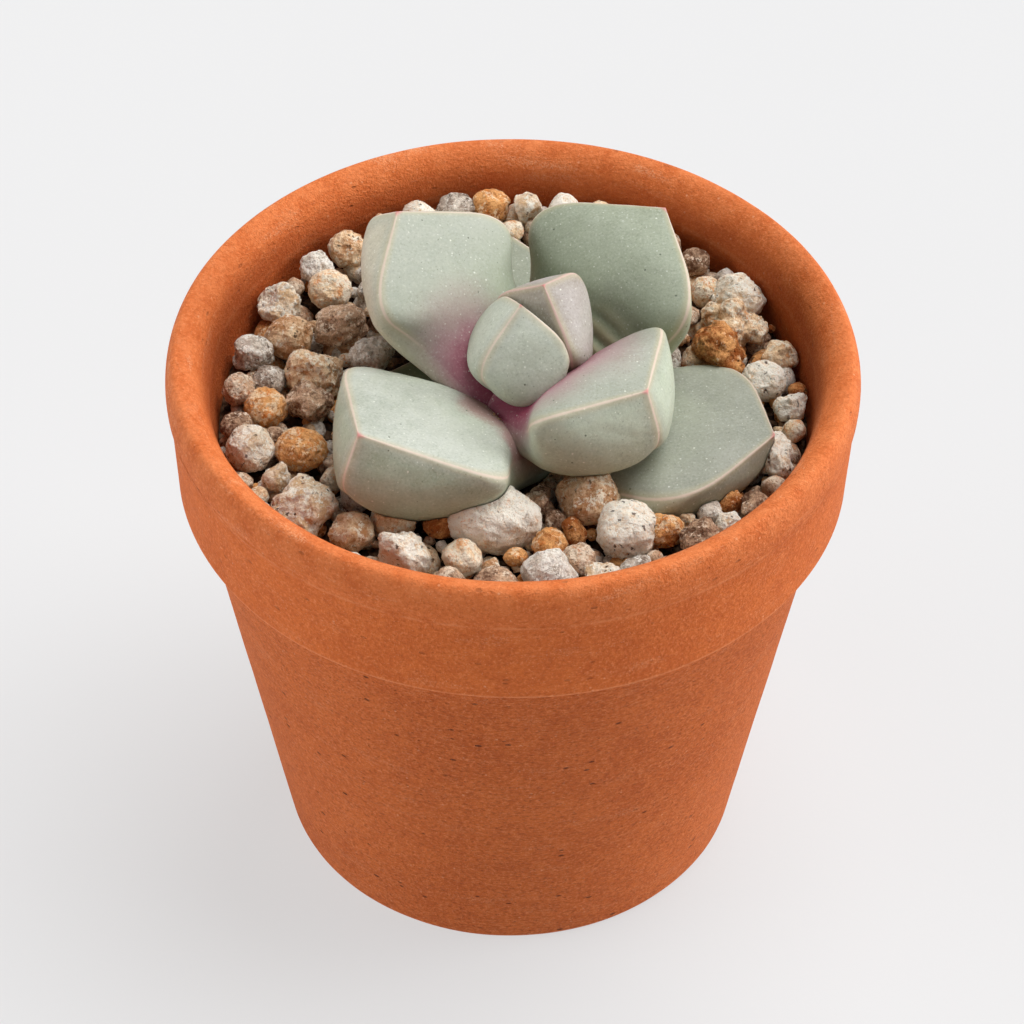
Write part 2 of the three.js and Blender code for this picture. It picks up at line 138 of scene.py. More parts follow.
class Sheet:
    """The node sheet of one material, with lengths in millimetres on the object."""

    def __init__(self, name: str) -> None:
        """Start an empty sheet.

        Args:
            name: Its material's name.
        """
        self.material = bpy.data.materials.new(name)
        self.material.use_nodes = True
        self.tree = self.material.node_tree
        self.tree.nodes.clear()
        source = self.node("ShaderNodeTexCoord").outputs["Object"]
        scaled = self.node("ShaderNodeVectorMath", {"operation": "SCALE"}, {0: source, "Scale": 1 / MM})
        self.place = scaled.outputs[0]

    def node(self, kind: str, settings: dict | None = None, inputs: dict | None = None) -> bpy.types.Node:
        """Add a node.

        Args:
            kind: The node's type name.
            settings: Its own settings.
            inputs: Values, flows or sockets for its inputs, by name or number.

        Returns:
            The node.
        """
        made = self.tree.nodes.new(kind)
        for name, value in (settings or {}).items():
            setattr(made, name, value)
        for key, value in (inputs or {}).items():
            if isinstance(value, Flow):
                self.tree.links.new(value.socket, made.inputs[key])
            elif isinstance(value, bpy.types.NodeSocket):
                self.tree.links.new(value, made.inputs[key])
            else:
                made.inputs[key].default_value = value
        return made

    def spread(self, stretch: Sequence[float], turn: Sequence[float] = (0, 0, 0)) -> bpy.types.NodeSocket:
        """Object coordinates stretched and turned.

        Args:
            stretch: Factors on X, Y and Z.
            turn: Turns about X, Y and Z in degrees.

        Returns:
            The mapped coordinates.
        """
        turns = tuple(math.radians(t) for t in turn)
        inputs = {"Vector": self.place, "Scale": tuple(stretch), "Rotation": turns}
        return self.node("ShaderNodeMapping", {}, inputs).outputs[0]

    def height(self) -> Flow:
        """Height over the ground in millimetres."""
        return Flow(self, self.node("ShaderNodeSeparateXYZ", {}, {0: self.place}).outputs["Z"])

    def reach(self) -> Flow:
        """Distance from the pot's axis.

        Returns:
            Millimetres in plan.
        """
        flat = self.node("ShaderNodeVectorMath", {"operation": "MULTIPLY"}, {0: self.place, 1: (1, 1, 0)})
        far = self.node("ShaderNodeVectorMath", {"operation": "LENGTH"}, {0: flat.outputs[0]})
        return Flow(self, far.outputs["Value"])

    def near(self, x: float, y: float, z: float) -> Flow:
        """Distance in millimetres from a point on the piece."""
        far = self.node("ShaderNodeVectorMath", {"operation": "DISTANCE"}, {0: self.place, 1: (x, y, z)})
        return Flow(self, far.outputs["Value"])

    def cloud(
        self,
        size: float,
        detail: float = 3.0,
        roughness: float = 0.5,
        where: bpy.types.NodeSocket | None = None,
    ) -> Flow:
        """Cloudy noise from 0 to 1.

        Args:
            size: Size of its largest forms in millimetres.
            detail: Octaves of finer forms.
            roughness: Weight of the finer forms.
            where: Coordinates, or the object's own.

        Returns:
            The noise value.
        """
        inputs = {
            "Vector": where or self.place,
            "Scale": 1 / size,
            "Detail": detail,
            "Roughness": roughness,
        }
        return Flow(self, self.node("ShaderNodeTexNoise", {}, inputs).outputs["Fac"])

    def cells(self, size: float, where: bpy.types.NodeSocket | None = None) -> tuple[Flow, Flow]:
        """Scattered cells.

        Args:
            size: Mean distance between cell centres in millimetres.
            where: Coordinates, or the object's own.

        Returns:
            Distance from the nearest centre in cell sizes, and a chance value of the cell.
        """
        inputs = {"Vector": where or self.place, "Scale": 1 / size}
        made = self.node("ShaderNodeTexVoronoi", {}, inputs)
        chance = self.node("ShaderNodeSeparateColor", {}, {0: made.outputs["Color"]})
        return Flow(self, made.outputs["Distance"]), Flow(self, chance.outputs[0])

    def dots(
        self, size: float, radius: float, share: float, where: bpy.types.NodeSocket | None = None
    ) -> Flow:
        """One in round dots and zero outside: a share of the cells has one, its radius in cell sizes."""
        distance, chance = self.cells(size, where)
        return distance.fall(radius * 0.55, radius) * chance.rise(1 - share, 1 - share * 0.6)

    def kept(self, name: str) -> Flow:
        """A value kept on the mesh under that name."""
        made = self.node("ShaderNodeAttribute", {"attribute_name": name})
        return Flow(self, made.outputs["Fac"])

    def mix(
        self,
        share: Flow | float,
        first: bpy.types.NodeSocket | Rgba,
        second: bpy.types.NodeSocket | Rgba,
    ) -> bpy.types.NodeSocket:
        """The first colour with a share of the second laid over it."""
        return self.node("ShaderNodeMix", {"data_type": "RGBA"}, {0: share, 6: first, 7: second}).outputs[2]

    def coats(self, colour: bpy.types.NodeSocket, *layers: tuple[Flow, Rgba]) -> bpy.types.NodeSocket:
        """Lay thin coats over a colour, one after another.

        Args:
            colour: The colour underneath.
            *layers: How much of each coat, and its colour.

        Returns:
            The coated colour.
        """
        for share, coat in layers:
            colour = self.mix(share, colour, coat)
        return colour

    def relief(self, *dents: tuple[Flow, float]) -> bpy.types.NodeSocket:
        """Bumps, each finer one on the coarser ones before it.

        Args:
            *dents: Each bump's height from 0 to 1, and what a height of 1 stands for in millimetres.

        Returns:
            The bumped normal.
        """
        normal: dict[str, bpy.types.NodeSocket] = {}
        for height, depth in dents:
            inputs = {"Strength": 1.0, "Distance": depth * MM, "Height": height, **normal}
            normal = {"Normal": self.node("ShaderNodeBump", {}, inputs).outputs[0]}
        return normal["Normal"]

    def close(
        self,
        colour: bpy.types.NodeSocket | Rgba,
        roughness: Flow | float,
        normal: bpy.types.NodeSocket,
        fixed: dict[str, float | tuple],
    ) -> bpy.types.Material:
        """Join the sheet's ends in a surface shader.

        Args:
            colour: Base colour.
            roughness: Roughness.
            normal: The bumped normal.
            fixed: Constants for the shader's own sockets.

        Returns:
            The finished material.
        """
        inputs = {"Base Color": colour, "Roughness": roughness, "Normal": normal, **fixed}
        shader = self.node("ShaderNodeBsdfPrincipled", {}, inputs)
        self.node("ShaderNodeOutputMaterial", {}, {"Surface": shader.outputs[0]})
        return self.material


# ---------------------------------------------------------------- finishes
@dataclass(frozen=True)
class Terracotta:
    """Fired red clay: grainy and pitted on the wall, smoother and pale from wear on the collar and the lip,
    the lip also paler as painted light on its top; painted shade in the bore, the pits and the wrinkles'
    creases.
    """

    clay: Rgba = paint(220, 114, 51)
    deep: Rgba = paint(192, 90, 36)
    # painted shade for the wrinkles' creases on the wall
    sunk: Rgba = paint(150, 66, 26)
    # pale clay for wear lines and specks, also used as painted light on the lip and on the wrinkles' crests
    rubbed_and_lit: Rgba = paint(236, 150, 98)
    pale: Rgba = paint(240, 184, 142)
    # dark colour of the pits and nicks: painted shade in the holes
    pit_shade: Rgba = paint(92, 40, 18)
    # painted shade on the inner wall of the bore
    bore_shade: Rgba = paint(142, 62, 24)
    collar_foot: float = 53.85
    lip_foot: float = 65.0
    bore_edge: tuple[float, float] = (35.2, 36.4)
    # heights where the bore's painted shade comes in and fades out
    bore_shade_foot: tuple[float, float] = (54.5, 55.5)
    bore_shade_top: tuple[float, float] = (73.5, 78.5)

    def pitted(self, sheet: Sheet, wall: Flow) -> Flow:
        """Where the clay has holes: pits all over, and nicks in patches.

        Args:
            sheet: The clay's sheet.
            wall: One on the body's wall, zero on the collar and the lip.

        Returns:
            One in a hole, zero outside.
        """
        flat = sheet.spread((1, 1, 2.2))
        patches = sheet.cloud(9, 2, 0.5).rise(0.42, 0.62)
        pits = sheet.dots(3.2, 0.14, 0.4, flat) * (0.35 + wall * 0.65)
        nicks = sheet.dots(0.85, 0.22, 0.26, flat) * (0.25 + wall * 0.75) * patches
        return pits.most(nicks * 0.6)

    def lines(self, height: Flow) -> tuple[Flow, Flow]:
        """The pale wear line at the collar's foot, and the seam under the lip.

        Args:
            height: Height over the ground.

        Returns:
            One on each line, zero off it.
        """
        foot, seam = self.collar_foot, self.lip_foot
        on_edge = height.rise(foot - 0.15, foot + 0.05) * height.fall(foot + 0.2, foot + 0.6)
        on_seam = height.rise(seam + 0.2, seam + 0.5) * height.fall(seam + 0.7, seam + 1.1)
        return on_edge, on_seam

    def make(self) -> bpy.types.Material:
        """Lay out the fired clay.

        Returns:
            The material.
        """
        sheet = Sheet("terracotta")
        height = sheet.height()
        wall = height.fall(self.collar_foot - 0.6, self.collar_foot + 0.2)
        lip = height.rise(self.lip_foot - 1.0, self.lip_foot + 9.0)
        inside = sheet.reach().fall(*self.bore_edge)
        # painted shade: darker on the bore's inner wall, inside the pot
        bore_shade = inside * height.fall(*self.bore_shade_top) * height.rise(*self.bore_shade_foot)
        edge, seam = self.lines(height)
        broad = sheet.cloud(17, 3, 0.55)
        middle = sheet.cloud(2.6, 4, 0.6)
        grain = sheet.cloud(0.42, 3, 0.7)
        fine = sheet.cloud(0.2, 2, 0.6)
        scuff = sheet.cloud(5.5, 5, 0.7, sheet.spread((0.5, 0.5, 2.6))).rise(0.54, 0.68)
        streaks = sheet.cloud(0.8, 3, 0.6, sheet.spread((0.7, 0.7, 2.2), (0, 10, 0)))
        wrinkles = sheet.cloud(0.5, 4, 0.7, sheet.spread((0.75, 0.75, 1.8)))
        wrinkle_shading = 0.35 + wall * 0.65
        holes = self.pitted(sheet, wall)
        tone = broad * 0.25 + middle * 0.3 + grain * 0.45
        colour = sheet.coats(
            sheet.mix(tone.rise(0.3, 0.66), self.deep, self.clay),
            # paler towards the lip, with more pale scuffs there: partly wear, partly painted light on the
            # pot's top
            (lip * (0.1 + middle.rise(0.3, 0.7) * 0.34), self.rubbed_and_lit),
            (grain.rise(0.52, 0.7) * 0.34, self.rubbed_and_lit),
            (fine.rise(0.6, 0.76) * 0.4, self.pale),
            (grain.fall(0.3, 0.46) * 0.4, self.deep),
            (scuff * fine.rise(0.4, 0.62) * (0.16 + lip * 0.3), self.pale),
            (sheet.dots(1.3, 0.14, 0.3) * 0.42, self.pale),
            (edge * sheet.cloud(3.0, 3).rise(0.2, 0.5) * 0.6, self.rubbed_and_lit),
            (seam * middle.rise(0.35, 0.6) * 0.35, self.rubbed_and_lit),
            # painted shade on the bore's inner wall
            (bore_shade * 0.5, self.bore_shade),
            # pits and nicks painted dark: painted shade in the holes
            (holes * 0.8, self.pit_shade),
            # creases of the wrinkles painted darker and their crests paler: painted shade and painted light
            # on the relief
            (wrinkles.fall(0.36, 0.46) * wrinkle_shading * 0.5, self.sunk),
            (wrinkles.rise(0.55, 0.66) * wrinkle_shading * 0.4, self.rubbed_and_lit),
        )
        normal = sheet.relief(
            (broad + middle * 0.2, 0.45),
            ((streaks + wrinkles * 0.7) * (0.25 + wall * 0.75) + grain * 0.5, 0.42),
            (fine, 0.09),
            (1.0 - holes, 0.3),
        )
        return sheet.close(colour, 0.86 - broad * 0.1 - lip * 0.1, normal, {"Specular IOR Level": 0.22})


@dataclass(frozen=True)
class LeafSkin:
    """Waxy grey-green skin with a frosty bloom, fine specks, pale ridges and a flushed base."""

    name: str
    skin: Rgba = paint(186, 189, 179)
    low: Rgba = paint(150, 157, 141)
    under: Rgba = paint(178, 188, 170)
    under_low: Rgba = paint(146, 158, 134)
    green: Rgba = paint(146, 162, 120)
    ridge: Rgba = paint(222, 200, 186)
    halo: Rgba = paint(196, 180, 142)
    flush: Rgba = paint(126, 30, 64)
    blush: Rgba = paint(178, 136, 144)
    speck: Rgba = paint(232, 234, 224)
    dot: Rgba = paint(78, 86, 70)
    tip: Rgba = paint(210, 112, 116)
    bases: tuple[tuple[float, float, float], ...] = ((-1.6, -5.2, 66.0),)
    flush_reach: float = 0.0
    blush_reach: float = 0.0
    ridge_share: float = 0.62
    fold_place: tuple[float, float, float] | None = None
    fold_bearing: float = 0.0
    fold: Rgba = paint(190, 180, 146)

    def flushed(self, sheet: Sheet, share: Flow, fine: Flow) -> list[tuple[Flow, Rgba]]:
        """The pink edge and the magenta flush round the leaf's foot.

        Args:
            sheet: The leaf's sheet.
            share: Where the leaf can take the flush.
            fine: Fine noise that breaks its edge up.

        Returns:
            The coats that the leaf has, which may be none.
        """
        if self.blush_reach == 0:
            return []
        reach = sheet.near(*self.bases[0])
        for place in self.bases[1:]:
            reach = reach.least(sheet.near(*place))
        reach = reach + (sheet.cloud(4.0, 4, 0.6) - 0.5) * 3.0 + (fine - 0.5) * 1.6
        coats = [(reach.fall(3.0, self.blush_reach) * share * 0.85, self.blush)]
        if self.flush_reach > 0:
            coats.append((reach.fall(self.flush_reach * 0.15, self.flush_reach) * share * 0.92, self.flush))
        return coats

    def folds(self, sheet: Sheet) -> Flow:
        """Slack folds across the leaf, round one place on it.

        Args:
            sheet: The leaf's sheet.

        Returns:
            The height of the folds, zero away from the place.
        """
        turned = sheet.spread((1, 1, 1), (0, 0, -self.fold_bearing))
        inputs = {"Vector": turned, "Scale": 0.26, "Distortion": 1.6, "Detail": 2.0, "Detail Scale": 0.6}
        wave = Flow(sheet, sheet.node("ShaderNodeTexWave", {}, inputs).outputs["Fac"])
        return wave * sheet.near(*self.fold_place).fall(1.6, 5.0)

    def make(self) -> bpy.types.Material:
        """Lay out the skin, which reads the leaf's own "ridge", "along" and "upper" values.

        Returns:
            The material.
        """
        sheet = Sheet(self.name)
        ridge, along, upper = sheet.kept("ridge"), sheet.kept("along"), sheet.kept("upper")
        broad = sheet.cloud(6.5, 3, 0.5)
        cloudy = sheet.cloud(1.8, 4, 0.62)
        fine = sheet.cloud(0.3, 3, 0.65)
        frost = (broad * 0.4 + cloudy * 0.25 + fine * 0.35).rise(0.2, 0.66)
        bloom = sheet.mix(frost * (0.5 + along * 0.5), self.low, self.skin)
        shaded = sheet.mix(frost, self.under_low, self.under)
        shown = along.rise(0.3, 0.52)
        shaky = ridge + (sheet.cloud(1.1, 3) - 0.5) * 0.16
        colour = sheet.coats(
            sheet.mix(upper, shaded, bloom),
            (along.fall(0.3, 0.8) * broad.rise(0.3, 0.62) * 0.34, self.green),
            *self.flushed(sheet, 0.35 + upper * 0.65, fine),
            (fine.rise(0.56, 0.74) * 0.18, self.speck),
            (fine.fall(0.28, 0.44) * 0.18, self.dot),
            (sheet.dots(0.55, 0.2, 0.3) * 0.5, self.speck),
            (sheet.dots(1.4, 0.105, 0.5) * 0.62, self.speck),
            (sheet.dots(0.62, 0.17, 0.28) * 0.42, self.dot),
            (sheet.dots(1.7, 0.09, 0.5) * 0.8, self.dot),
            (shaky.fall(0.05, 1.3) * shown * 0.38, self.halo),
            (shaky.fall(0.03, 0.3) * shown * self.ridge_share, self.ridge),
            (along.rise(0.976, 0.999) * 0.7, self.tip),
        )
        dents = [(broad + cloudy * 0.15, 0.4), (fine, 0.024)]
        if self.fold_place is not None:
            folds = self.folds(sheet)
            colour = sheet.mix(folds * 0.6, colour, self.fold)
            dents.append((folds, 0.32))
        normal = sheet.relief(*dents)
        fixed = {
            "Specular IOR Level": 0.4,
            "Subsurface Weight": 0.12,
            "Subsurface Radius": (1.0, 1.0, 0.6),
            "Subsurface Scale": 1.0 * MM,
        }
        return sheet.close(colour, 0.5 + fine * 0.2, normal, fixed)


class StoneKind(Enum):
    """The colours of stone in the dressing."""

    CREAM = "cream"
    TAN = "tan"
    OCHRE = "ochre"
    BROWN = "brown"
    GREY = "grey"


@dataclass(frozen=True)
class StoneFinish:
    """Porous volcanic stone: a body colour with a pale crust, stains, and open pores whose dark colour is
    painted shade.
    """

    kind: StoneKind
    body: Rgba
    shade: Rgba
    stain: Rgba
    crust: Rgba
    stained: float
    crusted: float
    pitted: float
    # dark colour of the open pores: painted shade in the holes
    pore_shade: Rgba = paint(84, 52, 32)

    def pores(self, sheet: Sheet, tone: Flow) -> Flow:
        """Ragged open pores, more of them on the stones of a low tone.

        Args:
            sheet: The stone's sheet.
            tone: The stone's own tone, from -1 to 1.

        Returns:
            One in a pore, zero outside.
        """
        jitter = sheet.node("ShaderNodeTexNoise", {}, {"Vector": sheet.place, "Scale": 2.2}).outputs["Color"]
        inputs = {0: sheet.place, 1: jitter}
        ragged = sheet.node("ShaderNodeVectorMath", {"operation": "ADD"}, inputs).outputs[0]
        pores = sheet.dots(0.55, 0.36, 0.3, ragged).most(sheet.dots(1.2, 0.26, 0.45, ragged))
        open_share = (tone * 0.5 + 0.5).fall(self.pitted, self.pitted + 0.1)
        return pores * sheet.cloud(2.2, 2).rise(0.4, 0.56) * (0.25 + open_share * 0.75)

    def make(self) -> bpy.types.Material:
        """Lay out the pumice, which reads each stone's own "tone".

        Returns:
            The material.
        """
        sheet = Sheet(f"stone_{self.kind.value}")
        tone = sheet.kept("tone")
        patches = sheet.cloud(2.0, 4, 0.65)
        blotch = sheet.cloud(1.5, 5, 0.7, sheet.spread((1.2, 0.9, 1.1), (20, 40, 60)))
        grain = sheet.cloud(0.34, 4, 0.72)
        fine = sheet.cloud(0.16, 2, 0.6)
        mottle = sheet.cloud(0.7, 4, 0.7, sheet.spread((1, 1.1, 0.9), (10, 70, 30)))
        lit = (patches * 0.7 + grain * 0.3 + tone * 0.09).rise(0.34, 0.56)
        stain = (blotch + tone * 0.08).rise(0.68 - self.stained * 0.22, 0.78 - self.stained * 0.14)
        crust = grain * 0.45 + sheet.cloud(1.2, 3, 0.6) * 0.55 + tone * 0.05
        crust = crust.rise(0.555 - self.crusted * 0.12, 0.61 - self.crusted * 0.12)
        pores = self.pores(sheet, tone)
        colour = sheet.coats(
            sheet.mix(lit, self.shade, self.body),
            (stain * 0.75, self.stain),
            (crust * 0.85, self.crust),
            ((mottle * 0.6 + grain * 0.4).fall(0.38, 0.45) * 0.7, self.shade),
            (fine.fall(0.34, 0.42) * 0.45, self.shade),
            # pores painted dark: painted shade in the holes
            (pores * 0.85, self.pore_shade),
        )
        normal = sheet.relief((patches + blotch * 0.5, 0.7), (grain, 0.34), (fine, 0.07), (1.0 - pores, 0.3))
        return sheet.close(colour, 0.92, normal, {"Specular IOR Level": 0.2})


STONE_FINISHES = {
    finish.kind: finish
    for finish in (
        StoneFinish(
            StoneKind.CREAM,
            body=paint(255, 242, 222), shade=paint(224, 186, 144),
            stain=paint(232, 164, 98), crust=paint(255, 249, 236),
            stained=0.38, crusted=0.72, pitted=0.75,
        ),
        StoneFinish(
            StoneKind.TAN,
            body=paint(254, 222, 182), shade=paint(196, 140, 94),
            stain=paint(238, 150, 80), crust=paint(255, 243, 222),
            stained=0.52, crusted=0.46, pitted=0.45,
        ),
        StoneFinish(
            StoneKind.OCHRE,
            body=paint(240, 176, 112), shade=paint(166, 92, 42),
            stain=paint(234, 134, 58), crust=paint(252, 222, 184),
            stained=0.56, crusted=0.22, pitted=0.5,
        ),
        StoneFinish(
            StoneKind.BROWN,
            body=paint(216, 178, 146), shade=paint(108, 74, 54),
            stain=paint(210, 130, 74), crust=paint(246, 226, 202),
            stained=0.44, crusted=0.36, pitted=0.3,
        ),
        StoneFinish(
            StoneKind.GREY,
            body=paint(236, 222, 206), shade=paint(142, 122, 106),
            stain=paint(206, 166, 130), crust=paint(254, 248, 238),
            stained=0.24, crusted=0.52, pitted=0.5,
        ),
    )
}


@dataclass(frozen=True)
class Crumbs:
    """Dark gritty earth, for the bed between the stones and the mix below."""

    name: str
    light: Rgba
    dark: Rgba

    def make(self) -> bpy.types.Material:
        """Lay out the crumbs.

        Returns:
            The material.
        """
        sheet = Sheet(self.name)
        lump = sheet.cloud(1.6, 5, 0.7)
        distance, chance = sheet.cells(0.9)
        colour = sheet.mix((lump * 0.6 + chance * 0.4).rise(0.35, 0.7), self.dark, self.light)
        normal = sheet.relief((lump, 0.6), (distance.fall(0.1, 0.7), 0.3))
        return sheet.close(colour, 0.95, normal, {"Specular IOR Level": 0.15})


@dataclass(frozen=True)
class Bark:
    """Corky root bark with lengthwise wrinkles."""

    light: Rgba = paint(150, 118, 86)
    dark: Rgba = paint(96, 68, 46)

    def make(self) -> bpy.types.Material:
        """Lay out the bark.

        Returns:
            The material.
        """
        sheet = Sheet("root_bark")
        wrinkle = sheet.cloud(0.8, 4, 0.6, sheet.spread((1, 1, 0.22)))
        colour = sheet.mix(wrinkle.rise(0.35, 0.65), self.dark, self.light)
        return sheet.close(colour, 0.88, sheet.relief((wrinkle, 0.3)), {"Specular IOR Level": 0.2})


@dataclass(frozen=True)
class DrySheath:
    """Papery dead leaf sheath."""

    light: Rgba = paint(214, 190, 150)
    dark: Rgba = paint(140, 104, 70)

    def make(self) -> bpy.types.Material:
        """Lay out the dry skin.

        Returns:
            The material.
        """
        sheet = Sheet("dry_sheath")
        fibre = sheet.cloud(0.35, 4, 0.65, sheet.spread((1, 0.4, 1), (0, 0, 30)))
        colour = sheet.mix(fibre.rise(0.35, 0.62), self.dark, self.light)
        return sheet.close(colour, 0.75, sheet.relief((fibre, 0.12)), {"Specular IOR Level": 0.25})


@dataclass(frozen=True)
class Paper:
    """The pale sheet that the pot stands on."""

    tint: Rgba = paint(128, 128, 129)
    shade: Rgba = paint(126, 126, 127)
    glow: float = 0.58

    def make(self) -> bpy.types.Material:
        """Lay out the paper.

        Returns:
            The material.
        """
        sheet = Sheet("pale_paper")
        colour = sheet.mix(sheet.cloud(60, 2), self.shade, self.tint)
        fixed = {"Specular IOR Level": 0.1, "Emission Color": (1, 1, 1, 1), "Emission Strength": self.glow}
        return sheet.close(colour, 0.9, sheet.relief((sheet.cloud(0.8, 2), 0.01)), fixed)


# ---------------------------------------------------------------- bench
class Bench:
    """The modelling steps that the pieces share."""

    doubled = 0.002  # vertices as near as this are one

    @staticmethod
    def clear() -> None:
        """Leave edit mode with nothing selected."""
        if bpy.context.object is not None and bpy.context.object.mode != "OBJECT":
            bpy.ops.object.mode_set(mode="OBJECT")
        bpy.ops.object.select_all(action="DESELECT")

    @staticmethod
    @contextmanager
    def editing() -> Iterator[None]:
        """Edit mode with all of the active piece selected, for as long as a with block lasts.

        Yields:
            Nothing.
        """
        bpy.ops.object.mode_set(mode="EDIT")
        bpy.ops.mesh.select_all(action="SELECT")
        yield
        bpy.ops.object.mode_set(mode="OBJECT")

    @staticmethod
    def hold(piece: bpy.types.Object) -> None:
        """Select one piece alone and make it the active one.

        Args:
            piece: The piece.
        """
        Bench.clear()
        piece.select_set(True)
        bpy.context.view_layer.objects.active = piece

    @staticmethod
    def named(name: str) -> bpy.types.Object:
        """Name the piece just added, and its mesh.

        Args:
            name: Their name.

        Returns:
            The piece.
        """
        piece = bpy.context.object
        piece.name = name
        piece.data.name = name
        return piece

    @staticmethod
    def points(mesh: bpy.types.Mesh) -> np.ndarray:
        """Where a mesh's vertices are.

        Args:
            mesh: The mesh.

        Returns:
            Their places in millimetres, a row for each.
        """
        flat = np.empty(len(mesh.vertices) * 3)
        mesh.vertices.foreach_get("co", flat)
        return flat.reshape(-1, 3) / MM

    @staticmethod
    def reshape(mesh: bpy.types.Mesh, points: np.ndarray) -> None:
        """Move a mesh's vertices to these places in millimetres."""
        mesh.vertices.foreach_set("co", (np.asarray(points) * MM).ravel())
        mesh.update()

    @staticmethod
    def keep(mesh: bpy.types.Mesh, name: str, values: np.ndarray) -> None:
        """Keep one number for each vertex, in vertex order, as a named attribute."""
        layer = mesh.attributes.new(name, "FLOAT", "POINT")
        layer.data.foreach_set("value", np.asarray(values, dtype=np.float32).ravel())

    @staticmethod
    def finish(piece: bpy.types.Object, kind: str, **settings: object) -> None:
        """Add a modifier, set it and apply it.

        Args:
            piece: The piece to change.
            kind: The modifier's type.
            **settings: The modifier's settings.
        """
        Bench.hold(piece)
        made = piece.modifiers.new(kind.lower(), kind)
        for name, value in settings.items():
            setattr(made, name, value)
        bpy.ops.object.modifier_apply(modifier=made.name)

    @staticmethod
    def roughen(piece: bpy.types.Object, size: float, height: float, texture: str = "CLOUDS") -> None:
        """Push a surface in and out by a cloudy or cellular texture.

        Args:
            piece: The piece to change.
            size: Size of the forms in millimetres.
            height: Full height of the forms in millimetres.
            texture: The texture's type.
        """
        pattern = bpy.data.textures.new(f"{piece.name}_{texture.lower()}", texture)
        pattern.noise_scale = size * MM
        Bench.finish(piece, "DISPLACE", texture=pattern, strength=height * MM, texture_coords="LOCAL")

    @staticmethod
    def mend(piece: bpy.types.Object, fill: bool = False) -> None:
        """Merge doubled vertices, close open ends if asked, and turn the faces outwards.

        Args:
            piece: The piece to mend.
            fill: Whether open ends are closed.
        """
        Bench.hold(piece)
        with Bench.editing():
            bpy.ops.mesh.remove_doubles(threshold=Bench.doubled * MM)
            if fill:
                bpy.ops.mesh.fill_holes(sides=0)
            bpy.ops.mesh.select_all(action="SELECT")
            bpy.ops.mesh.normals_make_consistent(inside=False)

    @staticmethod
    def turn(name: str, profile: Sequence[tuple[float, float]], steps: int) -> bpy.types.Object:
        """Draw a profile by extruding one vertex and spin it about the Z axis.

        Args:
            name: The piece's name.
            profile: Radius and height pairs in millimetres.
            steps: Steps of the full turn.

        Returns:
            The turned piece.
        """
        Bench.clear()
        bpy.ops.mesh.primitive_plane_add(size=2 * MM)
        piece = Bench.named(name)
        with Bench.editing():
            bpy.ops.mesh.merge(type="CENTER")
            here = (0.0, 0.0)
            for number, there in enumerate(profile):
                step = ((there[0] - here[0]) * MM, 0.0, (there[1] - here[1]) * MM)
                if number == 0:
                    bpy.ops.transform.translate(value=step)
                else:
                    bpy.ops.mesh.extrude_region_move(TRANSFORM_OT_translate={"value": step})
                here = there
            bpy.ops.mesh.select_all(action="SELECT")
            bpy.ops.mesh.spin(steps=steps, angle=2 * math.pi, center=(0, 0, 0), axis=(0, 0, 1))
        Bench.mend(piece)
        return piece

    @staticmethod
    def join(name: str, pieces: Sequence[bpy.types.Object]) -> bpy.types.Object:
        """Join pieces in one.

        Args:
            name: Name of the joined piece.
            pieces: The pieces, of which the first takes in the rest.

        Returns:
            The joined piece.
        """
        Bench.clear()
        for piece in pieces:
            piece.select_set(True)
        bpy.context.view_layer.objects.active = pieces[0]
        bpy.ops.object.join()
        return Bench.named(name)

    @staticmethod
    def smooth(piece: bpy.types.Object, degrees: float) -> None:
        """Shade a piece smooth, except over edges sharper than an angle."""
        Bench.hold(piece)
        bpy.ops.object.shade_smooth_by_angle(angle=math.radians(degrees))

    @staticmethod
    def hand_over(
        piece: bpy.types.Object, material: bpy.types.Material, slot: str, nodes: Sequence[str] = ()
    ) -> None:
        """Dress a finished piece and tie it to the frame.

        Args:
            piece: The finished piece.
            material: Its material.
            slot: A material slot's name; not used.
            nodes: CAD nodes that it stands for.
        """
        piece.data.materials.clear()
        piece.data.materials.append(material)
        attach(piece, "root")
        if nodes:
            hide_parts(*nodes)
        LOG.info("%-20s %7d faces", piece.name, len(piece.data.polygons))


def ease(low: float, high: float, x: np.ndarray) -> np.ndarray:
    """A soft step from 0 to 1, which begins at low and ends at high."""
    t = np.clip((x - low) / (high - low), 0, 1)
    return t * t * (3 - 2 * t)


DRAW_FACTOR, DRAW_STEP, DRAW_SPAN = 1664525, 1013904223, 4294967296


def chances(seed: int) -> Iterator[float]:
    """An endless row of repeatable numbers from 0 to 1.

    Args:
        seed: Where the row starts.

    Yields:
        The next number.
    """
    state = seed
    while True:
        state = (state * DRAW_FACTOR + DRAW_STEP) % DRAW_SPAN
        yield state / DRAW_SPAN


